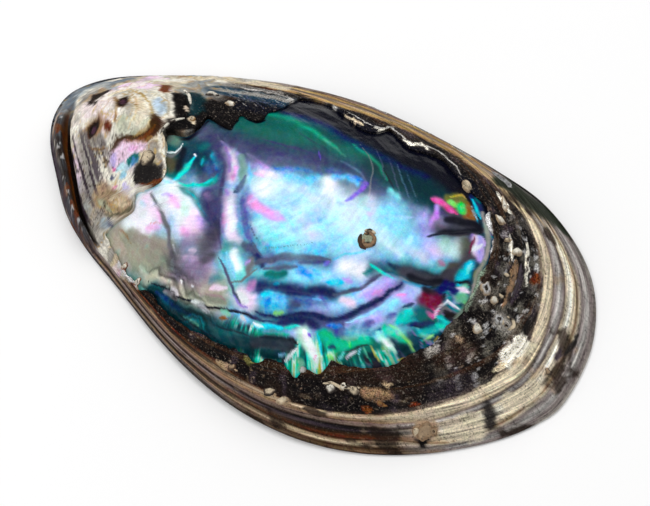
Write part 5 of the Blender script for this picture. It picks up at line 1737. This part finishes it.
def growth_points(growth, number):
    """One low rough dome that follows the crust, with its foot sunk in it."""
    gx, gy, length, width, turn, rise, pit = growth[:7]
    angle = np.linspace(0, 2 * math.pi, LUMP_SIDES + 1)[:-1]
    c, s = math.cos(math.radians(turn)), math.sin(math.radians(turn))
    rings, shares = [], np.linspace(0.04, 1.12, LUMP_RINGS)
    for share in shares:
        lobes = 1 + 0.3 * rough_noise(2 * np.cos(angle) + 9 * number, 2 * np.sin(angle), 1.4, 3)
        along, across = length * share * lobes * np.cos(angle), width * share * lobes * np.sin(angle)
        x, y = gx + along * c - across * s, gy + along * s + across * c
        dome_share = max(1 - min(share, 1.0) ** 2.4, 0.0) - 1.1 * pit * math.exp(-((share / 0.36) ** 2))
        height = surface_height(x, y) + rise * dome_share - 0.35 * smooth_step(0.9, 1.1, share)
        height += 0.5 * dome_share * rough_noise(x + 31 * number, y, 1.1, 4)
        rings.append(np.stack([x, y, height], axis=1))
    for share in (0.9, 0.4):
        ring = rings[-1].copy()
        ring[:, :2] = np.array([gx, gy]) + (ring[:, :2] - np.array([gx, gy])) * share
        ring[:, 2] -= 0.5
        rings.append(ring)
    return rings, np.concatenate([shares, [1.2, 1.2]])


# Soft boxes: name, direction from the shell, distance in metres, size in metres, watts.
STUDIO_LIGHTS = (
    ("key_softbox", (-0.29, 0.42, 0.86), 1.6, 1.6, 9.5),
    ("front_softbox", (-0.5, -0.55, 0.67), 1.4, 0.9, 4.0),
)
FLOOR_SIZE = 8.0
CAMERA_CLIP = (0.01, 10.0)


def camera_and_stage(stage):
    """The photo's camera, a pale floor and soft studio lights."""
    scene = bpy.context.scene
    turn, rise = stage.camera_azimuth, stage.camera_elevation
    back = Vector((math.sin(turn) * math.cos(rise), -math.cos(turn) * math.cos(rise), math.sin(rise)))
    camera = bpy.data.objects.new("photo_camera", bpy.data.cameras.new("photo_camera"))
    scene.collection.objects.link(camera)
    camera.data.lens = stage.camera_lens
    camera.data.clip_start, camera.data.clip_end = CAMERA_CLIP
    camera.location = Vector(stage.camera_aim) + back * stage.camera_distance
    camera.rotation_euler = (-back).to_track_quat("-Z", "Y").to_euler()
    scene.camera = camera
    bpy.ops.mesh.primitive_plane_add(size=FLOOR_SIZE, location=(0, 0, 0))
    floor = bpy.context.active_object
    floor.name = "floor"
    finish = {"Base_Color": (*stage.floor_colour, 1), "Roughness": 0.9, "Specular_IOR_Level": 0.0}
    floor.data.materials.append(NodeSet("pale_floor").finished(**finish))
    for name, direction, distance, size, power in STUDIO_LIGHTS:
        lamp = bpy.data.lights.new(name, "AREA")
        lamp.size, lamp.energy, lamp.shape = size, power, "SQUARE"
        thing = bpy.data.objects.new(name, lamp)
        scene.collection.objects.link(thing)
        towards = Vector(direction).normalized()
        thing.location = towards * distance
        thing.rotation_euler = towards.to_track_quat("Z", "Y").to_euler()
    world = bpy.data.worlds.new("studio")
    world.use_nodes = True
    nodes, links = world.node_tree.nodes, world.node_tree.links
    background = nodes["Background"]
    background.inputs["Color"].default_value = (*stage.world_colour, 1)
    split = nodes.new("ShaderNodeSeparateXYZ")
    links.new(nodes.new("ShaderNodeTexCoord").outputs["Generated"], split.inputs["Vector"])
    ramp = nodes.new("ShaderNodeMapRange")
    links.new(split.outputs["Z"], ramp.inputs["Value"])
    ramp.inputs["To Min"].default_value = stage.horizon_strength
    ramp.inputs["To Max"].default_value = stage.world_strength
    links.new(ramp.outputs["Result"], background.inputs["Strength"])
    scene.world = world
    scene.view_settings.view_transform = "Standard"


def swatch(title, where, value):
    """A colour setting in display values."""
    return bpy.props.FloatVectorProperty(
        name=title, description=where, default=value, size=3, min=0, max=1, subtype="COLOR_GAMMA"
    )


def span(title, what, millimetres):
    """A length setting, given in millimetres."""
    return bpy.props.FloatProperty(
        name=title, description=what, default=millimetres * MM, min=0, unit="LENGTH"
    )


def number_of(title, what, number):
    """A setting for how many points or rings are made."""
    return bpy.props.IntProperty(name=title, description=what, default=number, min=3, max=4000)


def amount(title, what, value, top=1.0):
    """A setting for a share or a strength."""
    return bpy.props.FloatProperty(
        name=title, description=what, default=value, min=0, max=top, subtype="FACTOR"
    )


class ShellSizes(bpy.types.PropertyGroup):
    """How finely each surface is drawn, and how thick its sheet is."""

    crust_segments: number_of("Crust Segments", "Points round each ring of the crust", 680)
    crust_rings: number_of("Crust Rings", "Rings from the nacre to the rim", 112)
    crust_step: span("Crust Step", "How far the crust goes down through the nacre at its worn edge", 0.5)
    nacre_segments: number_of("Nacre Segments", "Points round each ring of the worn nacre", 720)
    nacre_rings: number_of("Nacre Rings", "Rings from the top of the dome to the worn edge", 126)
    nacre_thickness: span("Nacre Thickness", "Thickness of the sheet of bare nacre", 2.0)
    nacre_tuck: span("Nacre Tuck", "How far the bare nacre goes on under the crust", 1.0)
    hollow_segments: number_of("Hollow Segments", "Points round each ring of the hollow", 480)
    hollow_rings: number_of("Hollow Rings", "Rings from the lip to the middle of the hollow", 96)
    hollow_thickness: span("Hollow Thickness", "Thickness of the inner nacre's sheet", 1.2)


class ShellFinish(bpy.types.PropertyGroup):
    """How each surface shines."""

    nacre_metal: amount("Nacre Metal", "How metallic the nacre looks", 0.06)
    nacre_roughness: amount("Nacre Roughness", "Roughness of the worn nacre", 0.24)
    reflection: amount("Refraction", "Refractive index, for how grazing light is mirrored", 1.2, 2.0)
    nacre_coat: amount("Nacre Gloss", "Weight of the clear gloss over the nacre", 0.1)
    nacre_coat_roughness: amount("Nacre Gloss Roughness", "Roughness of that gloss", 0.12)
    crust_roughness: amount("Crust Roughness", "Roughness of the crust", 0.72)
    hollow_roughness: amount("Hollow Roughness", "Roughness of the inner nacre", 0.2)
    growth_roughness: amount("Growth Roughness", "Roughness of barnacles and casts", 0.85)


class StudioStage(bpy.types.PropertyGroup):
    """Where the photo was taken from, and the floor and light round the shell."""

    camera_azimuth: bpy.props.FloatProperty(
        name="Camera Azimuth", description="Direction of the camera",
        default=math.radians(34.25), subtype="ANGLE",
    )
    camera_elevation: bpy.props.FloatProperty(
        name="Camera Elevation", description="Height of the camera",
        default=math.radians(59.4), subtype="ANGLE",
    )
    camera_distance: span("Camera Distance", "From the camera to the point it aims at", 441.26)
    camera_lens: bpy.props.FloatProperty(
        name="Lens", description="Focal length", default=99.97, min=1, unit="CAMERA"
    )
    camera_aim: bpy.props.FloatVectorProperty(
        name="Camera Aim", description="Point on the resting plane that the camera aims at",
        default=(0.006, 0.00182, 0.0), size=3, subtype="TRANSLATION", unit="LENGTH",
    )
    floor_colour: swatch("Floor", "Colour of the floor", (0.97, 0.97, 0.97))
    world_colour: swatch("Surroundings", "Colour of the light from all round", (1.0, 1.0, 1.0))
    world_strength: amount("Light from Above", "Strength of the light from straight above", 0.94, 10.0)
    horizon_strength: amount("Light from the Sides", "Strength of the light at the horizon", 0.12, 10.0)


# Colours in display values: name, what it colours, red, green and blue.
NACRE_SWATCHES = (
    ("pearl", "pink-white gleam", (0.98, 0.85, 0.95)),
    ("white", "brightest gleam", (0.97, 0.98, 1.0)),
    ("sky", "light blue", (0.62, 0.88, 1)),
    ("cyan", "green blue", (0.25, 0.85, 0.95)),
    ("aqua", "sea blue", (0.2, 0.9, 0.82)),
    ("blue", "full blue", (0.32, 0.54, 0.92)),
    ("deep_blue", "dark blue", (0.06, 0.11, 0.36)),
    ("indigo", "violet blue", (0.33, 0.35, 0.58)),
    ("violet", "violet", (0.5, 0.38, 0.85)),
    ("lavender", "pale violet", (0.75, 0.7, 0.98)),
    ("lilac", "pink violet", (0.82, 0.65, 0.98)),
    ("magenta", "strong pink violet", (0.88, 0.52, 0.95)),
    ("pink", "pink", (0.98, 0.62, 0.88)),
    ("rose", "deep pink", (0.92, 0.4, 0.65)),
    ("wine", "dark red", (0.45, 0.15, 0.25)),
    ("emerald", "bright green", (0.15, 0.75, 0.55)),
    ("lime", "yellow green", (0.6, 0.9, 0.5)),
    ("green_mist", "pale grey green", (0.45, 0.72, 0.6)),
    ("sea_green", "middle green", (0.09, 0.38, 0.33)),
    ("teal", "blue green", (0.1, 0.42, 0.42)),
    ("dark_teal", "dark blue green", (0.03, 0.17, 0.2)),
    ("olive", "dull green", (0.42, 0.42, 0.22)),
    ("gold", "yellow", (0.8, 0.7, 0.35)),
    ("copper", "brown gleam", (0.55, 0.38, 0.22)),
    ("beige", "dull pale brown", (0.66, 0.63, 0.56)),
    ("stone", "dull green grey", (0.58, 0.57, 0.51)),
    ("smoke", "middle grey", (0.42, 0.41, 0.43)),
    ("slate", "blue grey shade", (0.3, 0.32, 0.42)),
    ("blue_grey", "light blue grey", (0.42, 0.5, 0.62)),
    ("ink", "darkest shade", (0.04, 0.045, 0.09)),
    ("slate_green", "dark green far side", (0.13, 0.26, 0.3)),
    ("slate_violet", "dark violet grey", (0.22, 0.22, 0.37)),
    ("bubble_grey", "blister beside the spire", (0.4, 0.48, 0.44)),
    ("olive_shade", "dark brown green", (0.3, 0.29, 0.22)),
    ("navy_teal", "dark bowl", (0.08, 0.2, 0.28)),
    ("blue_slate", "middle blue grey", (0.3, 0.4, 0.62)),
    ("white_pink", "pale pink gleam", (0.98, 0.88, 0.97)),
    ("coral_line", "fine red line", (0.9, 0.6, 0.6)),
    ("green_white", "pale green gleam", (0.8, 0.95, 0.88)),
    ("violet_grey", "middle violet grey", (0.55, 0.48, 0.62)),
    ("teal_grey", "middle green grey", (0.36, 0.55, 0.58)),
    ("green_grey", "light green grey", (0.48, 0.62, 0.58)),
    ("bright_sky", "strong light blue", (0.48, 0.8, 1)),
    ("violet_pink", "light violet pink", (0.82, 0.58, 0.98)),
    ("aqua_pale", "pale sea blue", (0.55, 0.95, 0.95)),
    ("smoke_dark", "dark grey", (0.25, 0.24, 0.28)),
    ("emerald_light", "bright spot", (0.3, 0.85, 0.42)),
    ("rose_grey", "dull pink", (0.66, 0.44, 0.55)),
    ("navy", "dark furrows", (0.15, 0.18, 0.34)),
    ("plum_black", "dark strip", (0.14, 0.12, 0.16)),
)
CRUST_SWATCHES = (
    ("ivory", "palest old layer", (0.95, 0.93, 0.87)),
    ("cream", "pale growth band", (0.87, 0.8, 0.68)),
    ("far_cream", "pale far flank", (0.85, 0.8, 0.7)),
    ("pink_white", "pink old layer", (0.96, 0.89, 0.89)),
    ("white_grey", "pale cast", (0.8, 0.8, 0.8)),
    ("pale_grey", "light grey", (0.75, 0.74, 0.72)),
    ("shell_grey", "grey old layer", (0.62, 0.6, 0.57)),
    ("far_grey", "grey far flank", (0.55, 0.54, 0.52)),
    ("sky_grey", "blue-white", (0.62, 0.68, 0.72)),
    ("pale_sky", "pale blue", (0.72, 0.8, 0.86)),
    ("deep_sky", "blue gleam", (0.3, 0.55, 0.8)),
    ("lip_blue", "blue grey of the lip", (0.45, 0.5, 0.55)),
    ("sage", "green grey", (0.62, 0.65, 0.55)),
    ("edge_green", "green edge", (0.45, 0.52, 0.45)),
    ("algae", "green stain", (0.17, 0.19, 0.15)),
    ("olive_grey", "craze lines", (0.38, 0.36, 0.28)),
    ("golden", "yellow brown", (0.72, 0.58, 0.33)),
    ("ochre", "edges of old layers", (0.6, 0.44, 0.24)),
    ("sand", "pale brown", (0.68, 0.58, 0.46)),
    ("tan", "middle brown", (0.58, 0.46, 0.34)),
    ("taupe", "grey brown", (0.45, 0.39, 0.35)),
    ("mauve_brown", "purple brown", (0.5, 0.41, 0.38)),
    ("mauve_grey", "purple grey", (0.56, 0.51, 0.5)),
    ("plum_grey", "dark purple grey", (0.24, 0.2, 0.24)),
    ("plum", "dark purple", (0.35, 0.22, 0.3)),
    ("coral", "orange pink", (0.85, 0.5, 0.42)),
    ("rust", "red brown", (0.42, 0.2, 0.09)),
    ("brown_patch", "brown", (0.27, 0.17, 0.1)),
    ("amber", "light through the slot's edge", (0.5, 0.27, 0.1)),
    ("umber", "dark brown", (0.14, 0.1, 0.08)),
    ("dark_grey", "rim", (0.17, 0.16, 0.16)),
    ("charcoal", "dark grit", (0.13, 0.12, 0.12)),
    ("black_brown", "inside of the slot", (0.09, 0.06, 0.05)),
    ("black", "darkest crust", (0.05, 0.04, 0.045)),
)


class ShellColours(bpy.types.PropertyGroup):
    """Colours of the nacre, then of the crust."""

    __annotations__ = {
        name: swatch(name.replace("_", " ").title(), surface + ": " + what, value)
        for surface, rows in (("Nacre", NACRE_SWATCHES), ("Crust", CRUST_SWATCHES))
        for name, what, value in rows
    }


class AddCrust(bpy.types.Operator):
    """Adds the crust, the spire, the slot and the lip as one closed piece."""

    bl_idname = "abalone.add_crust"
    bl_label = "Add Crust and Lip"

    def execute(self, context):
        palette = palette_of(context.scene.abalone_colours)
        rings, angle, before_lip = crust_rings(context.scene.abalone_sizes)
        points = middle_and_rings(rings)
        x, y, _ = points.T
        growth, spread = growth_and_spread(x, y)
        ray, inward = angle_of(x, y), inward_of(x, y)
        material = crust_material(context.scene.abalone_finish)
        tint = crust_colour(x, y, inward, ray, palette)
        under = slice(1 + before_lip * len(angle), None)
        tint[under] = lip_colour(x[under], y[under], palette)
        piece = add_mesh(
            "crust", points, stack_faces(len(rings), len(angle)), material, tint,
            grit=grit(x, y), growth=growth, spread=spread, worn=unbanded(x, y, inward, ray),
        )
        cut_holes(piece, palette)
        as_shell_piece(piece)
        return {"FINISHED"}


class AddWornNacre(bpy.types.Operator):
    """Adds the polished nacre that shows where the crust is worn away."""

    bl_idname = "abalone.add_worn_nacre"
    bl_label = "Add Worn Nacre"

    def execute(self, context):
        palette = palette_of(context.scene.abalone_colours)
        rings, angle = nacre_rings(context.scene.abalone_sizes)
        points = middle_and_rings(rings)
        x, y, _ = points.T
        growth, spread = growth_and_spread(x, y)
        piece = add_mesh(
            "worn_nacre", points, stack_faces(len(rings), len(angle)),
            nacre_material(context.scene.abalone_finish), nacre_colour(x, y, palette),
            growth=growth, spread=spread,
        )
        as_shell_piece(piece)
        return {"FINISHED"}


class AddHollow(bpy.types.Operator):
    """Adds the hollow's inner nacre with the muscle scar."""

    bl_idname = "abalone.add_hollow"
    bl_label = "Add Hollow"

    def execute(self, context):
        palette = palette_of(context.scene.abalone_colours)
        rings = hollow_rings(context.scene.abalone_sizes)
        points = middle_and_rings(rings)
        x, y, z = points.T
        piece = add_mesh(
            "hollow_nacre", points, stack_faces(len(rings), len(rings[0])),
            hollow_material(context.scene.abalone_finish), hollow_colour(x, y, z, palette),
        )
        cut_holes(piece, palette)
        as_shell_piece(piece)
        return {"FINISHED"}


class AddGrowths(bpy.types.Operator):
    """Adds the barnacles and worm casts that sit on the crust."""

    bl_idname = "abalone.add_growths"
    bl_label = "Add Barnacles and Casts"

    def execute(self, context):
        palette = palette_of(context.scene.abalone_colours)
        points, faces, tint = [], [], []

        def gather(rings, paint):
            corners = middle_and_rings(rings)
            faces.extend(stack_faces(len(rings), len(rings[0]), sum(map(len, points))))
            points.append(corners)
            tint.append(paint(corners[:, 0], corners[:, 1]))

        for number, growth in enumerate(GROWTHS):
            rings, shares = growth_points(growth, number)
            outward = np.concatenate([[0.0], np.repeat(shares, len(rings[0])), [1.0]])
            pit, top, foot = growth[6], palette[growth[7]], palette[growth[8]]

            def paint_lump(x, y):
                patches = 0.3 * rough_noise(x + 31 * number, y, 1.2, 3)
                tone = mix(plain(top, x), foot, smooth_step(0.5, 1.0, outward + patches))
                return mix(tone, palette["umber"], pit * (1 - smooth_step(0.25, 0.45, outward + patches / 2)))

            gather(rings, paint_lump)
        for name, *tube in WORM_TUBES:
            def paint_tube(x, y):
                dirt = smooth_step(0.1, 0.6, rough_noise(x, y, 1.0, 3))
                return mix(plain(palette[name], x), palette["umber"], dirt)

            gather(tube_rings(*tube), paint_tube)
        piece = add_mesh(
            "barnacles_and_casts", np.concatenate(points), faces, lump_material(context.scene.abalone_finish),
            np.concatenate(tint),
        )
        as_shell_piece(piece)
        return {"FINISHED"}


class AddStage(bpy.types.Operator):
    """Adds the photo's camera, the floor and the lights."""

    bl_idname = "abalone.add_stage"
    bl_label = "Add Camera and Lights"

    def execute(self, context):
        camera_and_stage(context.scene.abalone_stage)
        return {"FINISHED"}


class AbalonePanel(bpy.types.Panel):
    """Buttons and settings for the shell."""

    bl_idname = "VIEW3D_PT_abalone"
    bl_label = "Abalone Shell"
    bl_space_type = "VIEW_3D"
    bl_region_type = "UI"
    bl_category = "Abalone"

    def draw(self, context):
        for operator in PIECES + (AddStage,):
            self.layout.operator(operator.bl_idname)
        for kind in ("sizes", "finish", "stage"):
            settings, box = getattr(context.scene, "abalone_" + kind), self.layout.box()
            for name in settings.__annotations__:
                box.prop(settings, name)


PIECES = (AddCrust, AddWornNacre, AddHollow, AddGrowths)
CLASSES = (ShellSizes, ShellFinish, ShellColours, StudioStage) + PIECES + (AddStage, AbalonePanel)
SETTINGS = (
    ("abalone_sizes", ShellSizes), ("abalone_finish", ShellFinish), ("abalone_colours", ShellColours),
    ("abalone_stage", StudioStage),
)


def register():
    for kind in CLASSES:
        bpy.utils.register_class(kind)
    for name, kind in SETTINGS:
        setattr(bpy.types.Scene, name, bpy.props.PointerProperty(type=kind))


def unregister():
    for name, _ in SETTINGS:
        delattr(bpy.types.Scene, name)
    for kind in reversed(CLASSES):
        bpy.utils.unregister_class(kind)


def main():
    register()
    bpy.ops.abalone.add_crust()
    bpy.ops.abalone.add_worn_nacre()
    bpy.ops.abalone.add_hollow()
    bpy.ops.abalone.add_growths()
    bpy.ops.abalone.add_stage()


if __name__ == "__main__":
    main()
